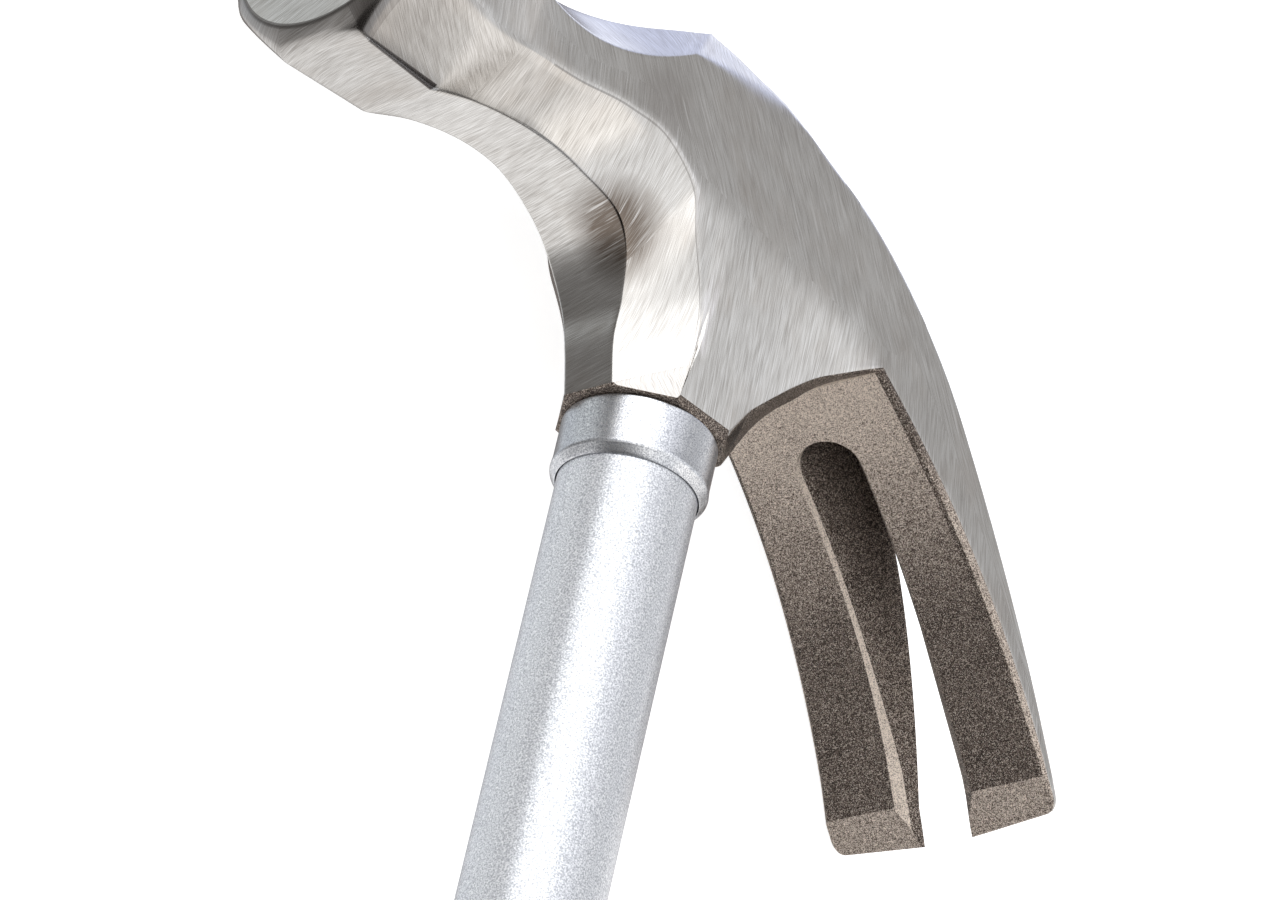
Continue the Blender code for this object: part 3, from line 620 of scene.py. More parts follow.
def bend(start, corner, end, steps):
    """Points on a soft bend that leaves start and reaches end, both towards corner."""
    shares = np.linspace(0.0, 1.0, steps + 1).reshape(-1, *([1] * np.ndim(corner)))
    return (1 - shares) ** 2 * start + 2 * shares * (1 - shares) * corner + shares ** 2 * end


def towards(start, end, reach):
    """Points a reach from start towards end, but never past the middle."""
    way = end - start
    length = np.maximum(np.linalg.norm(way, axis=-1, keepdims=True), TINY)
    return start + way * np.minimum(REACH_LIMIT, np.reshape(reach, (-1, 1)) / length)


def corner_bends(corners, before, after, steps):
    """Soft bends at the corners of a closed outline, with a reach before and after each corner."""
    starts = towards(corners, np.roll(corners, 1, axis=0), before)
    ends = towards(corners, np.roll(corners, -1, axis=0), after)
    return [bend(*points, steps) for points in zip(starts, corners, ends)]


def rounded_ring(corners, rounding, facet_points):
    """Closed ring through corners, each rounded, with points along the facets between them."""
    bends = corner_bends(corners, *np.transpose(rounding), ROUNDING_STEPS)
    points = []
    for index, soft in enumerate(bends):
        points.extend(soft)
        following = bends[(index + 1) % len(bends)][0]
        for share in np.linspace(0.0, 1.0, facet_points[index] + 2)[1:-1]:
            points.append(between(soft[-1], following, share))
    return np.array(points)


def head_ring(edges, bell_share=0.0, crown_share=0.0):
    """Ring through a section's edges, rounded as on the bell or on the crown to a share."""
    rounding = between(np.array(EDGE_ROUNDING), np.array(BELL_ROUNDING), bell_share)
    rounding = between(rounding, np.array(CROWN_ROUNDING), crown_share)
    both_sides = np.concatenate([rounding, rounding[::-1, ::-1]])
    return rounded_ring(mirrored(edges), both_sides, FACET_POINTS)


def per_corner(values):
    """One value for each point of a head ring, from values for the upper side's corners, top to under."""
    by_corner = (*values, *reversed(values))
    spread = []
    for index, count in enumerate(FACET_POINTS):
        here = by_corner[index]
        following = by_corner[(index + 1) % len(by_corner)]
        spread += [here] * (ROUNDING_STEPS + 1)
        spread += [between(here, following, step / (count + 1)) for step in range(1, count + 1)]
    return np.array(spread)


def ring_labels():
    """For each span of a head ring: the facet it lies on or next to, and the corner it rounds, if any."""
    facets = []
    corners = []
    for index, count in enumerate(FACET_POINTS):
        before = (index - 1) % len(FACET_POINTS)
        facets += [before] * (ROUNDING_STEPS // 2) + [index] * (ROUNDING_STEPS - ROUNDING_STEPS // 2)
        corners += [index] * ROUNDING_STEPS
        facets += [index] * (count + 1)
        corners += [None] * (count + 1)
    return facets, corners


class Rows:
    """Rings of the head in order, each with a word for the stretch that leads up to it."""

    def __init__(self):
        self.rings = []
        self.words = []

    def add(self, word, rings):
        self.rings.extend(rings)
        self.words.extend([word] * len(rings))

    def fill(self, word, start, end, steps):
        """Add evenly spaced rings from just past start to end."""
        self.add(word, [between(start, end, step / steps) for step in range(1, steps + 1)])

    def soften(self, index, reach, word, steps=SOFT_STEPS):
        """Replace one sharp ring with a soft bend."""
        at = self.rings[index]
        start = towards(at, self.rings[index - 1], reach)
        end = towards(at, self.rings[index + 1], reach)
        soft = list(bend(start, at, end, steps))
        self.words[index:index + 1] = [self.words[index]] + [word] * (len(soft) - 1)
        self.rings[index:index + 1] = soft

    def relax(self, index, reach, softness, rounds):
        """Ease the rings near one ring towards their neighbours' middle, by a softness for each point."""
        share = np.reshape(softness, (-1, 1)) / 2
        for _ in range(rounds):
            for here in range(index - reach, index + reach + 1):
                middle = (self.rings[here - 1] + self.rings[here + 1]) / 2
                self.rings[here] = between(self.rings[here], middle, share)


def bell_rings(rear):
    """Rings from the face's middle over its rim and turned chamfer, and along the bell to its rear."""
    octagon = bell_section(FACE_Y, BELL_FRONT_HALF_HEIGHT, BELL_FRONT_HALF_WIDTH, BELL_FRONT_FLAT)
    front = head_ring(section_edges(octagon), bell_share=BELL_FRONT_SHARE)
    slope = FACE_CHAMFER_WIDTH / FACE_CHAMFER_DEPTH
    low = np.zeros((len(front), 1))
    high = np.ones((len(front), 1))
    for _ in range(BISECTIONS):
        share = (low + high) / 2
        point = between(rear, front, share)
        radius = np.hypot(point[:, 0] - POLL_AXIS_X, point[:, 2])
        outside = (radius > FACE_RADIUS + (FACE_Y - point[:, 1]) * slope).reshape(-1, 1)
        high = np.where(outside, share, high)
        low = np.where(outside, low, share)
    edge = between(rear, front, low)
    angle = np.arctan2(edge[:, 2], edge[:, 0] - POLL_AXIS_X)

    def circle(radius):
        return np.stack([POLL_AXIS_X + radius * np.cos(angle), np.full(len(angle), FACE_Y),
                         radius * np.sin(angle)], axis=1)

    rows = Rows()
    for step in range(1, FACE_RINGS):
        rows.add("face", [circle(FACE_RADIUS * (step / FACE_RINGS) ** FACE_RING_POWER)])
    rim = len(rows.rings)
    rows.add("chamfer", [circle(FACE_RADIUS), edge])
    rows.add("bell", [rear])
    rows.soften(rim + 1, CHAMFER_ROUNDING, "chamfer", CHAMFER_STEPS)
    last = rows.rings[-2]
    rows.rings.pop()
    rows.words.pop()
    rows.fill("bell", last, rear, BELL_STEPS)
    rows.words[rim] = "face"
    rows.soften(rim, RIM_ROUNDING, "chamfer")
    return rows


def head_rows():
    """All rings of the head, from the middle of the face to the claw's tips."""
    steps_each = STEPS_BETWEEN_SECTIONS
    front = []
    for index, section in enumerate(curve_through(front_sections())):
        bell_share = max(0.0, 1.0 - index / steps_each)
        crown_share = min(1.0, max(0.0, (index / steps_each - CROWN_SECTION) / 2))
        front.append(head_ring(section_edges(section), bell_share, crown_share))
    foot = [head_ring(section_edges(s), crown_share=1.0) for s in foot_sections()]
    rear = []
    rear_stretch = rear_sections()
    for index, section in enumerate(curve_through(rear_stretch)):
        share = index / ((len(rear_stretch) - 1) * steps_each)
        rear.append(head_ring(section_edges(section), crown_share=1.0 - share ** 2))
    claw = [head_ring(edges) for edges in claw_rows()]
    reach_tips(claw)
    rows = bell_rings(front[0])
    bell_rear = len(rows.rings) - 1
    rows.add("front", front[1:])
    front_foot = len(rows.rings) - 1
    rows.fill("corner", front[-1], foot[0], FOOT_STEPS)
    rows.fill("foot", foot[0], foot[1], FOOT_STEPS)
    rows.fill("corner", foot[1], rear[0], FOOT_STEPS)
    rear_foot = len(rows.rings) - 1
    rows.add("rear", rear[1:])
    rows.add("claw", claw[:CLAW_RINGS])
    tip = len(rows.rings) - 1
    rows.add("tip", claw[CLAW_RINGS:])
    rows.soften(tip, TIP_ROUNDING, "tip")
    rows.soften(rear_foot, FOOT_ROUNDING, "corner")
    rows.soften(front_foot, FOOT_ROUNDING, "corner")
    rows.soften(bell_rear, BELL_REAR_ROUNDING, "front")
    rows.relax(bell_rear + 2, BELL_REAR_REACH, per_corner(BELL_REAR_SOFTNESS), BELL_REAR_ROUNDS)
    return rows


def along_grain(where, grain):
    """A place turned so that its first value runs along the grain, in metres."""
    along = where[0] * grain[0] + where[1] * grain[1]
    across = where[1] * grain[0] - where[0] * grain[1]
    return along * MM, across * MM


def grind_marks(rings, words, facets):
    """Corners of each span as (along, across, facet) in the grinding marks' own directions, in metres."""
    points = np.array(rings)
    count = points.shape[1]
    facets = np.array(facets)
    steps = np.linalg.norm(np.roll(points, -1, axis=1) - points, axis=2)
    marks = np.zeros((len(rings) - 1, count, 4, 3))
    for facet, name in enumerate(FACET_NAMES):
        spans = np.flatnonzero(facets == facet)
        corners = np.concatenate([spans, [(spans[-1] + 1) % count]])
        middle = points[:, corners[len(corners) // 2]]
        along = np.concatenate([[0.0], np.cumsum(np.linalg.norm(np.diff(middle, axis=0), axis=1))])
        across = np.concatenate([np.zeros((len(rings), 1)), np.cumsum(steps[:, spans], axis=1)], axis=1)
        across -= across[:, -1:] / 2
        for row in range(len(rings) - 1):
            for place, span in enumerate(spans):
                for corner, (ring, step) in enumerate(((0, 0), (0, 1), (1, 1), (1, 0))):
                    point = points[row + ring, (span + step) % count]
                    if words[row + 1] == "face":
                        grain = FACE_GRAIN
                        where = (point[0], point[2])
                    elif name in SIDE_GRAIN:
                        grain = SIDE_GRAIN[name]
                        where = point[:2]
                    else:
                        low = name == "lower" and middle[row, 0] < BOSS_GRAIN_BELOW_X
                        grain = FACET_GRAIN["boss" if low else name]
                        where = (along[row + ring], across[row + ring, place + step])
                    marks[row, span, corner] = (*along_grain(where, grain), facet)
    return marks.reshape(-1, 3)


def span_finish(word, facet, corner):
    """Material of one span of the head: 0 ground, 1 as forged."""
    if word in ("rear", "claw", "tip", "foot") and facet in UNDERSIDE:
        return 1
    if word == "corner" and (facet == UNDER_FACET or corner in UNDER_CORNERS):
        return 1
    return 0


def span_tone(word, facet, corner, share):
    """Painted light and shade on one span of the skin, at a share of the way along the chamfer, bell or
    claw.
    """
    if word == "chamfer":
        return between(*(TONE_CHAMFER if facet in TONE_CHAMFER_FACETS else TONE_CHAMFER_SIDE), share)
    if word == "bell":
        if corner in TONE_CREASES:
            return TONE_CREASES[corner] * between(TONE_CREASE_START, 1.0, share)
        if facet == UNDER_FACET:
            return TONE_BELL_UNDER
        return TONE_BELL_SIDE * (1.0 - share ** 2) if facet in LOWER_FACETS else 0.0
    if word in ("foot", "corner"):
        return TONE_FOOT if facet in UNDERSIDE else 0.0
    if word == "rear":
        if facet == UNDER_FACET:
            return TONE_ROOT
        return TONE_STRIP if facet in LOWER_FACETS else 0.0
    if word == "tip":
        return TONE_TIP_FACET
    if word != "claw" or facet not in UNDERSIDE:
        return 0.0
    # The lower bevels go from the painted dark line at the root to a painted highlight further out
    bevel_highlight = min(1.0, max(0.0, (share - BEVEL_HIGHLIGHT_FROM) / BEVEL_HIGHLIGHT_RUN))
    if corner in UNDER_CORNERS:
        return TONE_LINE
    if corner in LOWER_CORNERS or facet in LOWER_FACETS:
        return between(TONE_LINE, TONE_BEVEL, bevel_highlight)
    return between(TONE_ROOT, TONE_TIP, min(1.0, TONE_FADE * share))


def mesh_from_rings(name, rings):
    """Closed mesh through rings of points given in millimetres from the seam."""
    count = len(rings[0])
    points = np.concatenate(rings) * MM + SEAM
    faces = []
    for row in range(len(rings) - 1):
        here = row * count
        for index in range(count):
            following = (index + 1) % count
            faces.append((here + index, here + following, here + count + following, here + count + index))
    last = (len(rings) - 1) * count
    faces.append(tuple(range(count - 1, -1, -1)))
    faces.append(tuple(range(last, last + count)))
    mesh = bpy.data.meshes.new(name)
    mesh.from_pydata(points.tolist(), [], faces)
    mesh.polygons.foreach_set("use_smooth", [True] * len(mesh.polygons))
    return mesh


def set_attribute(mesh, name, kind, domain, values):
    attribute = mesh.attributes.new(name, kind, domain)
    field = "vector" if kind == "FLOAT_VECTOR" else "value"
    attribute.data.foreach_set(field, np.asarray(values, np.float32).ravel())


def add_object(name, mesh, *finishes):
    for finish in finishes:
        mesh.materials.append(finish)
    made = bpy.data.objects.new(name, mesh)
    bpy.context.scene.collection.objects.link(made)
    return made


def slot_ring(share, narrowing):
    """Section of the nail slot's cutter: a groove that opens inwards and breaks through further out."""
    inner, outer = claw_ends(share)
    across = np.subtract(outer, inner)
    thickness = np.linalg.norm(across)
    outward = across / thickness * SLOT_OVERRUN
    open_share = (share - SLOT_BREAKTHROUGH) / (1 - SLOT_BREAKTHROUGH)
    if open_share > 0:
        depth = 1.0
        half_top = between(SLOT_FLOOR_HALF_WIDTH, SLOT_TOP_HALF_WIDTH, open_share ** SLOT_TOP_POWER)
    else:
        depth = 1.0 + (1.0 - SLOT_ROOT_DEPTH) * open_share * (1 - SLOT_BREAKTHROUGH) / SLOT_BREAKTHROUGH
        half_top = SLOT_FLOOR_HALF_WIDTH
    half_under = SLOT_UNDER_HALF_WIDTH
    bevel = between(SLOT_EDGE_BEVEL, SLOT_TIP_BEVEL, max(0.0, open_share) ** 2)
    wall = np.add(inner, across * min(0.5, bevel / thickness))
    floor = np.add(inner, across * depth)
    over = outward * depth ** SLOT_FLOOR_POWER
    below = np.subtract(inner, outward)
    side = [(*np.add(floor, over), half_top), (*floor, half_top), (*wall, half_under),
            (*inner, half_under + bevel), (*below, half_under + bevel + SLOT_OVERRUN)]
    corners = mirrored(np.array(side) * (1.0, 1.0, narrowing))
    return rounded_ring(corners, SLOT_ROUNDING, SLOT_FACET_POINTS)


def slot_rings():
    """Nail slot from its rounded root to past the claw's tips."""
    root_share = SLOT_ROOT_SETBACK / INNER_LENGTH
    end_share = SLOT_UNDER_HALF_WIDTH / INNER_LENGTH
    rings = []
    for index in range(SLOT_END_RINGS):
        angle = math.pi / 2 * (index + SLOT_END_START) / SLOT_END_RINGS
        rings.append(slot_ring(root_share + end_share * (1 - math.cos(angle)), math.sin(angle)))
    start = root_share + end_share
    for index in range(SLOT_RINGS + 1):
        rings.append(slot_ring(start + (1.0 - start) * index / SLOT_RINGS, 1.0))
    outer = claw_ends(1.0)[1]
    past = np.subtract((outer_x(TIP_Y), TIP_Y), outer) * SLOT_TIP_OVERRUN
    flare = SLOT_TIP_FLARE * SLOT_TIP_OVERRUN
    last = rings[-1].copy()
    narrow = np.abs(last[:, 2]) <= SLOT_TOP_HALF_WIDTH
    last[narrow, 2] += np.sign(last[narrow, 2]) * flare
    last[:, :2] += past
    rings.append(last)
    return rings


def oval_ring(x, half_y, half_z, sides):
    angles = np.linspace(0.0, 2 * math.pi, sides, endpoint=False)
    return np.stack([np.full(sides, x), half_y * np.cos(angles), half_z * np.sin(angles)], axis=1)


def weld(mesh, drop_caps=False):
    """Join points that coincide; a mesh that loses its end caps also has its faces turned outward."""
    bm = bmesh.new()
    bm.from_mesh(mesh)
    if drop_caps:
        caps = [face for face in bm.faces if len(face.verts) > 4]
        bmesh.ops.delete(bm, geom=caps, context="FACES_ONLY")
    bmesh.ops.remove_doubles(bm, verts=bm.verts, dist=WELD_REACH)
    if drop_caps:
        bmesh.ops.recalc_face_normals(bm, faces=bm.faces)
    bm.to_mesh(mesh)
    bm.free()


def turned_mesh(name, profile, closed):
    """Mesh turned about the handle's axis from (x, radius) points; an open one runs towards the head."""
    rings = [oval_ring(x, radius, radius, TURNED_STEPS) for x, radius in profile]
    mesh = mesh_from_rings(name, rings + rings[:1] if closed else rings)
    if closed:
        weld(mesh, drop_caps=True)
    return mesh


def eased_profile(corners):
    """Outline through (x, radius, rounding) corners, each rounded; the outline is closed."""
    places = np.array([(x, radius) for x, radius, _ in corners])
    reach = [rounding for _, _, rounding in corners]
    points = []
    for place, rounding, soft in zip(places, reach, corner_bends(places, reach, reach, SOFT_STEPS)):
        points.extend(soft if rounding > 0 else [place])
    return points


def slot_tones(count):
    """Painted light and shade on the slot cutter's spans: painted shade on the walls and on one bevel, a
    painted highlight on the other bevel.
    """
    ring = []
    for index, points in enumerate(SLOT_FACET_POINTS):
        ring += [TONE_SLOT_BEVELS.get(index, TONE_SLOT_WALL)] * (ROUNDING_STEPS + points + 1)
    rows = (count - 2) // len(ring)
    return ring * rows + [TONE_SLOT_WALL] * 2


def dress_head(mesh, rows):
    """Material, painted light and shade, and grinding marks of every face of the head before it is cut."""
    facets, corners = ring_labels()
    starts = {word: rows.words.index(word) for word in rows.words}
    front_from = starts["front"] + NECK_LINE_FROM
    first, second = LOWER_CORNERS
    neck_lines = (corners.index(first) + ROUNDING_STEPS - 1, corners.index(second))
    finish = []
    tone = []
    for row, word in enumerate(rows.words[1:], start=1):
        share = (row - starts[word]) / rows.words.count(word)
        for span, (facet, corner) in enumerate(zip(facets, corners)):
            finish.append(span_finish(word, facet, corner))
            # Painted dark reflection along the neck's lower edges
            on_line = word == "front" and row >= front_from and span in neck_lines
            tone.append(TONE_NECK_LINE if on_line else span_tone(word, facet, corner, share))
    finish += [0, 1]
    tone += [0.0, TONE_TIP_FACET]
    caps = np.zeros((2 * len(facets), 3))
    face_points = rows.rings[0][::-1]
    caps[:len(facets), :2] = np.transpose(along_grain((face_points[:, 0], face_points[:, 2]), FACE_GRAIN))
    marks = np.concatenate([grind_marks(rows.rings, rows.words, facets), caps])
    mesh.polygons.foreach_set("material_index", finish)
    set_attribute(mesh, "grind", "FLOAT_VECTOR", "CORNER", marks)
    set_attribute(mesh, "tone", "FLOAT", "FACE", tone)


def make_head(finishes):
    """The head, with the nail slot and the eye cut out of it."""
    rows = head_rows()
    mesh = mesh_from_rings("hammer_head", rows.rings)
    dress_head(mesh, rows)
    head = add_object("hammer_head", mesh, *finishes)

    slot = add_object("slot_cutter", mesh_from_rings("slot_cutter", slot_rings()), *finishes)
    set_attribute(slot.data, "tone", "FLOAT", "FACE", slot_tones(len(slot.data.polygons)))
    past_crown = POLL_AXIS_X + 2 * BELL_FRONT_HALF_HEIGHT
    eye_profile = [(0.0, EYE_RADIUS), (past_crown, EYE_RADIUS)]
    eye = add_object("eye_cutter", turned_mesh("eye_cutter", eye_profile, False), *finishes)
    for cutter in (slot, eye):
        cutter.data.polygons.foreach_set("material_index", [1] * len(cutter.data.polygons))
        boolean = head.modifiers.new("cut", "BOOLEAN")
        boolean.operation = "DIFFERENCE"
        boolean.object = cutter
        boolean.use_self = True
    evaluated = head.evaluated_get(bpy.context.evaluated_depsgraph_get())
    final = bpy.data.meshes.new_from_object(evaluated)
    head.modifiers.clear()
    head.data = final
    weld(final)
    final.set_sharp_from_angle(angle=math.radians(HEAD_SHARP_ANGLE))
    for cutter in (slot, eye):
        bpy.data.objects.remove(cutter)
    return head


def make_handle_tube(finish):
    """Hollow tube, swaged down to a neck that ends below the crown's top over the eye."""
    top = top_edge_x(-EYE_RADIUS) - EYE_TOP_RECESS
    shoulder = COLLAR_TOP_X - CLEARANCE
    swage = shoulder - SWAGE_LENGTH
    bore = TUBE_RADIUS - TUBE_WALL
    neck_bore = TUBE_NECK_RADIUS - TUBE_WALL
    corners = [(top, TUBE_NECK_RADIUS, TUBE_TOP_EASE), (shoulder, TUBE_NECK_RADIUS, SWAGE_EASE),
               (swage, TUBE_RADIUS, SWAGE_FOOT_EASE), (0.0, TUBE_RADIUS, 0.0),
               (GRIP_TOP_X, TUBE_RADIUS, 0.0), (TUBE_END_X, TUBE_RADIUS, TUBE_END_EASE),
               (TUBE_END_X, bore, TUBE_END_EASE), (swage, bore, SWAGE_EASE),
               (shoulder, neck_bore, SWAGE_EASE), (top, neck_bore, TUBE_TOP_EASE)]
    return add_object("steel_tube", turned_mesh("steel_tube", eased_profile(corners), True), finish)


def make_collar(finish):
    """Straight sleeve with a small rolled bead at its lower rim, which turns in to the tube."""
    top = COLLAR_TOP_X + CLEARANCE / 2
    bead = COLLAR_BEAD_LENGTH
    rim = TUBE_RADIUS + COLLAR_RIM_GAP
    ease = COLLAR_TOP_EASE
    profile = [(top, COLLAR_RADIUS - ease), (top - ease, COLLAR_RADIUS), (top - 2 * ease, COLLAR_RADIUS)]
    turn_in = np.array([bead, COLLAR_BEAD_RADIUS])
    sleeve = np.array([2 * bead, COLLAR_RADIUS])
    swell = turn_in + BEAD_SWELL
    lip = np.array([LIP_X, rim])
    profile.extend(bend(sleeve, between(sleeve, turn_in, 0.5), swell, BEAD_STEPS))
    profile.extend(bend(swell, turn_in, turn_in + BEAD_UNDER, BEAD_STEPS))
    profile.extend(bend(np.add((0.0, rim), LIP_START), lip, lip, LIP_STEPS))
    profile += [(LIP_START[0], rim), (LIP_DEPTH, COLLAR_BORE), (top, COLLAR_BORE)]
    return add_object("ferrule", turned_mesh("ferrule", profile, True), finish)


def grip_half_sizes(share):
    """Half sizes along Y and Z at a share of the way from the grip's mouth to its butt."""
    places = GRIP_PLACES
    sizes = (GRIP_MOUTH, GRIP_WAIST, GRIP_BELLY, GRIP_BUTT, GRIP_BUTT)
    for index in range(len(places) - 1):
        if share <= places[index + 1]:
            t = (share - places[index]) / (places[index + 1] - places[index])
            ease = t * t * (3 - 2 * t)
            return np.add(np.multiply(sizes[index], 1 - ease), np.multiply(sizes[index + 1], ease))
    return np.array(GRIP_BUTT)


def groove_depth(along):
    """Depth of the moulded grooves at a distance from the grip's mouth."""
    if not GROOVES_FROM <= along <= GROOVES_TO:
        return 0.0
    away = abs((along - GROOVES_FROM) % GROOVE_PITCH - GROOVE_PITCH / 2)
    if away >= GROOVE_HALF_WIDTH:
        return 0.0
    return GROOVE_DEPTH * 0.5 * (1 + math.cos(math.pi * away / GROOVE_HALF_WIDTH))


def make_grip(finish):
    """Oval rubber sleeve with moulded grooves, closed at the butt, with a bore for the tube."""
    bore = TUBE_RADIUS + CLEARANCE
    floor = BUTT_X + GRIP_END_WALL
    straight = GRIP_LENGTH - GRIP_EDGE
    rings = []

    def add_ring(x, half_y, half_z):
        rings.append(oval_ring(x, half_y, half_z, GRIP_SIDES))

    add_ring(floor, 1.0, 1.0)
    add_ring(floor, bore, bore)
    add_ring(GRIP_TOP_X, bore, bore)
    for step in range(GRIP_MOUTH_STEPS + 1):
        turn = math.pi / 2 * step / GRIP_MOUTH_STEPS
        half_y, half_z = np.array(GRIP_MOUTH) - GRIP_MOUTH_ROUND * (1 - math.sin(turn))
        add_ring(GRIP_TOP_X - GRIP_MOUTH_ROUND * (1 - math.cos(turn)), half_y, half_z)
    along = GRIP_MOUTH_ROUND + GRIP_STEP
    while along < straight:
        half_y, half_z = grip_half_sizes(along / straight) - groove_depth(along)
        add_ring(GRIP_TOP_X - along, half_y, half_z)
        along += GRIP_STEP
    for step in range(GRIP_EDGE_STEPS + 1):
        turn = math.pi / 2 * step / GRIP_EDGE_STEPS
        inset = GRIP_EDGE * (1 - math.cos(turn))
        x = BUTT_X + GRIP_EDGE * (1 - math.sin(turn))
        add_ring(x, GRIP_BUTT[0] - inset, GRIP_BUTT[1] - inset)
    mesh = mesh_from_rings("rubber_grip", rings[::-1])
    mesh.set_sharp_from_angle(angle=math.radians(GRIP_SHARP_ANGLE))
    return add_object("rubber_grip", mesh, finish)


class Nodes:
    """Nodes of a material or of the world, with a short way to add and link them."""

    def __init__(self, owner):
        owner.use_nodes = True
        self.nodes = owner.node_tree.nodes
        self.links = owner.node_tree.links

    def add(self, kind, inputs=None, **settings):
        made = self.nodes.new("ShaderNode" + kind)
        for name, value in settings.items():
            setattr(made, name, value)
        self.feed(made, inputs or {})
        return made

    def feed(self, made, inputs):
        for key, value in inputs.items():
            if isinstance(value, bpy.types.NodeSocket):
                self.links.new(value, made.inputs[key])
            else:
                made.inputs[key].default_value = value

    def noise(self, vector, scale, detail=2.0, roughness=0.5):
        inputs = {"Vector": vector, "Scale": scale, "Detail": detail, "Roughness": roughness}
        return self.add("TexNoise", inputs).outputs["Fac"]

    def ramp(self, value, stops):
        made = self.add("ValToRGB", {"Fac": value})
        elements = made.color_ramp.elements
        while len(elements) < len(stops):
            elements.new(0.5)
        for element, (position, colour) in zip(elements, stops):
            element.position = position
            element.color = (*colour, 1.0)
        return made.outputs["Color"]

    def grey(self, value, low, high, start=0.3, end=0.7, curve="LINEAR"):
        inputs = {"Value": value, "From Min": start, "From Max": end, "To Min": low, "To Max": high}
        return self.add("MapRange", inputs, interpolation_type=curve).outputs["Result"]

    def mix(self, share, first, second):
        """Mix of two colours; the node's colour sockets are numbers 6 and 7 in and 2 out."""
        return self.add("Mix", {0: share, 6: first, 7: (*second, 1.0)}, data_type="RGBA").outputs[2]

    def math(self, operation, first, second, third=0.0):
        return self.add("Math", {0: first, 1: second, 2: third}, operation=operation).outputs["Value"]

    def weighted(self, *terms, start=0.0):
        """Sum of values times their weights."""
        total = start
        for value, weight in terms:
            total = self.math("MULTIPLY_ADD", value, weight, total)
        return total

    def vector(self, operation, first, second=(0.0, 0.0, 0.0)):
        made = self.add("VectorMath", {0: first, 1: second}, operation=operation)
        return made.outputs["Value" if operation in ("DOT_PRODUCT", "LENGTH") else "Vector"]

    def bump(self, height, strength, distance):
        made = self.add("Bump", {"Height": height, "Strength": strength, "Distance": distance})
        return made.outputs["Normal"]


class Shader(Nodes):
    """A material with one surface, and the place on the object that its patterns follow."""

    def __init__(self, name):
        self.material = bpy.data.materials.new(name)
        super().__init__(self.material)
        self.surface = self.nodes["Principled BSDF"]
        self.place = self.add("TexCoord").outputs["Object"]

    def set(self, **inputs):
        self.feed(self.surface, {key.replace("_", " "): value for key, value in inputs.items()})


def ground_steel():
    """Bare steel with belt-grinding marks in each facet's own direction."""
    shader = Shader("ground_steel")
    marks = shader.add("Attribute", attribute_name="grind").outputs["Vector"]

    def lines(per_metre, stretch, detail):
        """Streaks so many to the metre, longer than they are wide by the stretch."""
        scaled = shader.vector("MULTIPLY", marks, (per_metre / stretch, per_metre, FACET_SHIFT))
        return shader.noise(scaled, 1.0, detail)

    fine = lines(9500.0, 30.0, 1.0)
    coarse = lines(6200.0, 24.0, 2.0)
    broad = lines(420.0, 4.0, 2.0)
    scratch = lines(4200.0, 30.0, 0.0)
    cloud = shader.noise(shader.place, 110.0, 3.0)
    tone = shader.add("Attribute", attribute_name="tone").outputs["Fac"]
    scratches = shader.grey(scratch, 0.0, 1.0, 0.68, 0.8)
    streaks = shader.weighted((fine, 0.6), (coarse, 0.4))
    level = shader.weighted((streaks, 0.87), (broad, 0.13))
    colour = shader.ramp(level, [(0.36, (0.48, 0.46, 0.44)), (0.5, (0.67, 0.655, 0.635)),
                                 (0.64, (0.84, 0.83, 0.82))])
    blotch = shader.grey(cloud, 0.0, 0.4, 0.52, 0.72)
    stain = shader.math("MULTIPLY", blotch, shader.grey(coarse, 0.2, 1.0))
    colour = shader.mix(stain, colour, (0.50, 0.435, 0.375))
    for centre, (full, gone), strength in TINTS:
        middle = tuple(SEAM + np.array(centre) * MM)
        away = shader.vector("LENGTH", shader.vector("SUBTRACT", shader.place, middle))
        near = shader.grey(away, strength, 0.0, full * MM, gone * MM)
        tint = shader.math("MULTIPLY", near, shader.grey(coarse, 0.5, 1.0, 0.36, 0.62))
        colour = shader.mix(tint, colour, (0.20, 0.165, 0.14))
    colour = shader.mix(shader.math("MULTIPLY", scratches, 0.6), colour, (0.9, 0.89, 0.88))
    # Painted shade: spans whose tone is below 0 are darkened towards a near black
    colour = shader.mix(shader.math("MULTIPLY", tone, -1.0), colour, (0.14, 0.125, 0.12))
    height = shader.weighted((streaks, 1.0), (scratches, -0.3))
    shader.set(Base_Color=colour, Metallic=1.0, Roughness=shader.grey(streaks, 0.28, 0.18),
               Normal=shader.bump(height, 0.25, 0.00003))
    return shader.material


def forged_steel():
    """Shot-blasted forging skin: brownish grey grit, with painted highlights on its bevels and painted
    shade in its recesses.
    """
    shader = Shader("as_forged_steel")
    place = shader.place
    grit = shader.noise(place, 6400.0, 3.0, 0.7)
    pits = shader.noise(place, 2000.0, 3.0, 0.6)
    cloud = shader.noise(place, 160.0, 3.0)
    speck = shader.noise(place, 7000.0, 0.0)
    tone = shader.add("Attribute", attribute_name="tone").outputs["Fac"]
    # The tone attribute adds painted highlight and painted shade to the grit
    level = shader.weighted((grit, 2.2), (pits, 0.5), (tone, 0.16), (cloud, 0.1), start=-0.85)
    colour = shader.ramp(level, [(0.3, (0.02, 0.015, 0.012)), (0.54, (0.125, 0.094, 0.079)),
                                 (0.7, (0.42, 0.355, 0.305)), (0.95, (0.82, 0.72, 0.63))])
    specks = shader.grey(speck, 0.0, 0.8, 0.66, 0.76)
    colour = shader.mix(specks, colour, (0.74, 0.66, 0.58))
    height = shader.math("ADD", grit, pits)
    shader.set(Base_Color=colour, Metallic=0.7, Roughness=shader.grey(grit, 0.6, 0.38),
               Normal=shader.bump(height, 0.8, 0.00012))
    return shader.material


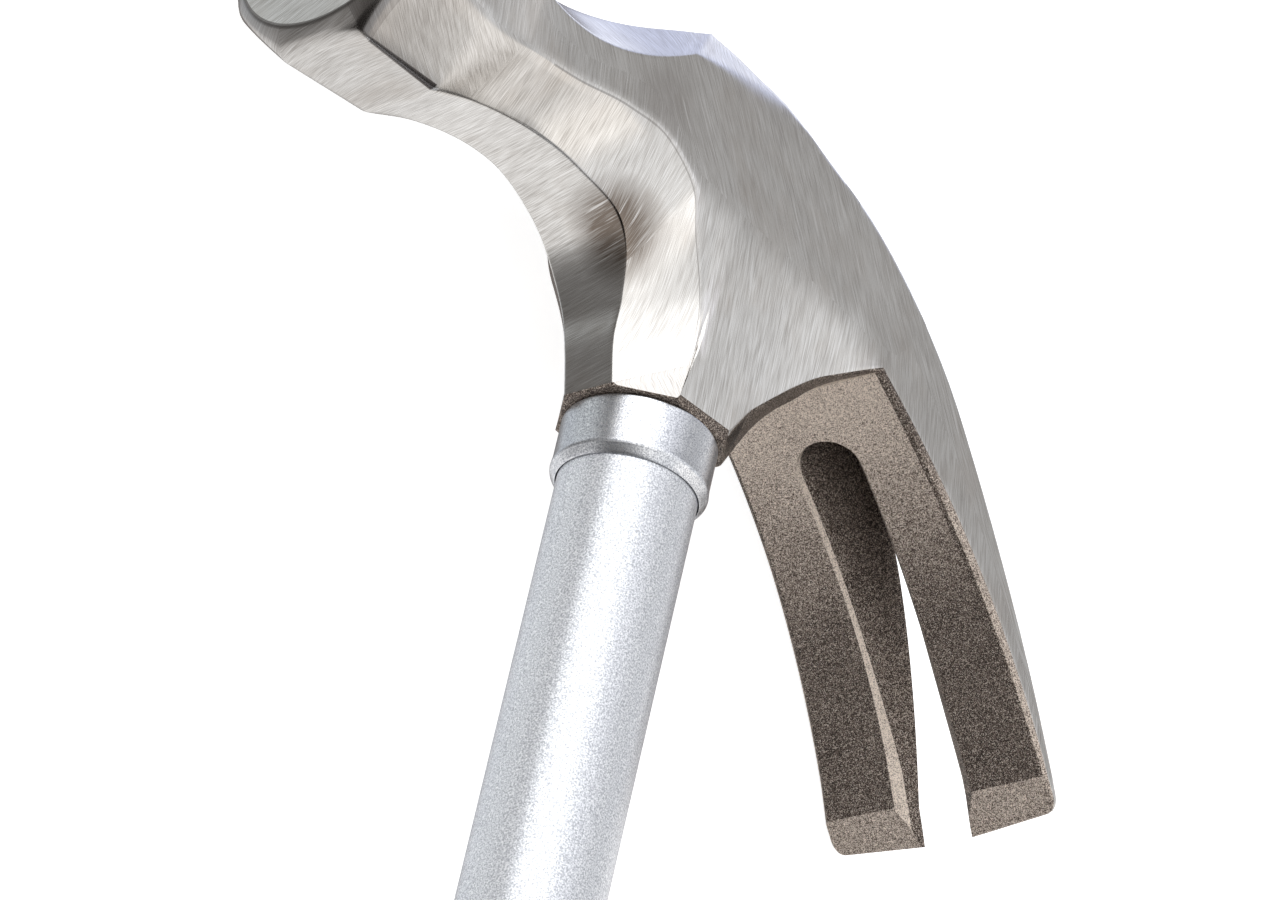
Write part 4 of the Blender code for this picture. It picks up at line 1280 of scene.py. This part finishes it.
def silver_paint(name, flake_scale, metallic, roughness):
    """Silver lacquer with metal flakes and a slight orange peel."""
    shader = Shader(name)
    flakes = shader.noise(shader.place, flake_scale, 1.0)
    peel = shader.noise(shader.place, 700.0, 2.0)
    colour = shader.ramp(flakes, [(0.32, (0.42, 0.435, 0.475)), (0.5, (0.67, 0.69, 0.73)),
                                  (0.68, (0.95, 0.97, 1.0))])
    height = shader.weighted((peel, 1.0), (flakes, 0.8))
    shader.set(Base_Color=colour, Metallic=metallic,
               Roughness=shader.grey(flakes, roughness + 0.06, roughness - 0.06),
               Normal=shader.bump(height, 0.2, 0.00006))
    return shader.material


def black_rubber():
    shader = Shader("black_rubber")
    grain = shader.noise(shader.place, 1600.0, 3.0, 0.6)
    cloud = shader.noise(shader.place, 40.0, 3.0)
    colour = shader.ramp(cloud, [(0.3, (0.016, 0.016, 0.017)), (0.7, (0.034, 0.033, 0.033))])
    shader.set(Base_Color=colour, Roughness=shader.grey(grain, 0.75, 0.5),
               Normal=shader.bump(grain, 0.35, 0.00015))
    return shader.material


def grained(name, scale, detail, dark, pale, roughness, relief, metallic=0.0):
    """Finish whose colour, roughness and relief all follow one fine noise."""
    shader = Shader(name)
    grain = shader.noise(shader.place, scale, detail)
    shader.set(Base_Color=shader.ramp(grain, [(0.3, dark), (0.7, pale)]), Metallic=metallic,
               Roughness=shader.grey(grain, *roughness), Normal=shader.bump(grain, *relief))
    return shader.material


def bonding_resin():
    return grained("bonding_resin", 500.0, 3.0, (0.25, 0.18, 0.09), (0.46, 0.36, 0.21),
                   roughness=(0.5, 0.3), relief=(0.3, 0.0002))


def bare_steel():
    return grained("bare_steel", 1800.0, 3.0, (0.30, 0.29, 0.285), (0.55, 0.54, 0.53),
                   roughness=(0.5, 0.3), relief=(0.3, 0.00006), metallic=1.0)


def moulded_plastic():
    return grained("moulded_plastic", 2200.0, 2.0, (0.03, 0.03, 0.03), (0.06, 0.06, 0.06),
                   roughness=(0.55, 0.4), relief=(0.2, 0.00005))


def make_floor():
    """Pale, matt table top."""
    size = FLOOR_SIZE
    corners = [(-size, -size, 0.0), (size, -size, 0.0), (size, size, 0.0), (-size, size, 0.0)]
    mesh = bpy.data.meshes.new("floor")
    mesh.from_pydata(corners, [], [(0, 1, 2, 3)])
    shader = Shader("pale_table")
    cloud = shader.noise(shader.place, 12.0, 2.0)
    colour = shader.ramp(cloud, [(0.3, (0.88, 0.88, 0.88)), (0.7, (0.91, 0.91, 0.91))])
    shader.set(Base_Color=colour, Roughness=0.9, Emission_Color=(1.0, 1.0, 1.0, 1.0),
               Emission_Strength=FLOOR_GLOW)
    floor = add_object("floor", mesh, shader.material)
    floor.visible_glossy = False


def make_light():
    """Studio round the hammer: a surround by height, and soft panels and flags set in it by direction."""
    world = bpy.data.worlds.new("studio")
    bpy.context.scene.world = world
    studio = Nodes(world)
    direction = studio.add("TexCoord").outputs["Generated"]
    split = studio.add("SeparateXYZ", {0: direction})
    height = studio.grey(split.outputs["Z"], 0.0, 1.0, -1.0, 1.0)
    light = studio.ramp(height, [((level + 1.0) / 2, colour) for level, colour in SURROUND])
    for towards_panel, full, gone, colour in PANELS:
        facing = studio.vector("DOT_PRODUCT", direction, Vector(towards_panel).normalized())
        start = math.cos(math.radians(gone))
        end = math.cos(math.radians(full))
        share = studio.grey(facing, 0.0, 1.0, start, end, "SMOOTHSTEP")
        light = studio.mix(share, light, colour)
    studio.feed(studio.nodes["Background"], {"Color": light})


def make_camera():
    data = bpy.data.cameras.new("photo_camera")
    data.lens = CAMERA_LENS
    data.sensor_width = CAMERA_SENSOR
    data.sensor_fit = "HORIZONTAL"
    camera = bpy.data.objects.new("photo_camera", data)
    camera.location = CAMERA_PLACE
    camera.rotation_euler = CAMERA_TURN
    bpy.context.scene.collection.objects.link(camera)
    bpy.context.scene.camera = camera
    bpy.context.scene.view_settings.view_transform = "Standard"


def give_finish(node, finish):
    """Better material on a CAD node that stays as it is."""
    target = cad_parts[node]
    target.data.materials.clear()
    target.data.materials.append(finish)


make_camera()
make_floor()
make_light()
pieces = (
    (make_head((ground_steel(), forged_steel())), "head", "forged_steel"),
    (make_handle_tube(silver_paint("satin_silver_paint", 4600.0, 0.6, 0.37)), "handle_tube",
     "silver_paint"),
    (make_collar(silver_paint("bright_silver_paint", 5200.0, 0.95, 0.32)), "collar", "silver_paint"),
    (make_grip(black_rubber()), "grip", "black_rubber"),
)
for piece, node, slot in pieces:
    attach(piece, "root")
    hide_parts(node)
give_finish("bond_sleeve", bonding_resin())
give_finish("eye_plug", bare_steel())
give_finish("butt_plug", moulded_plastic())
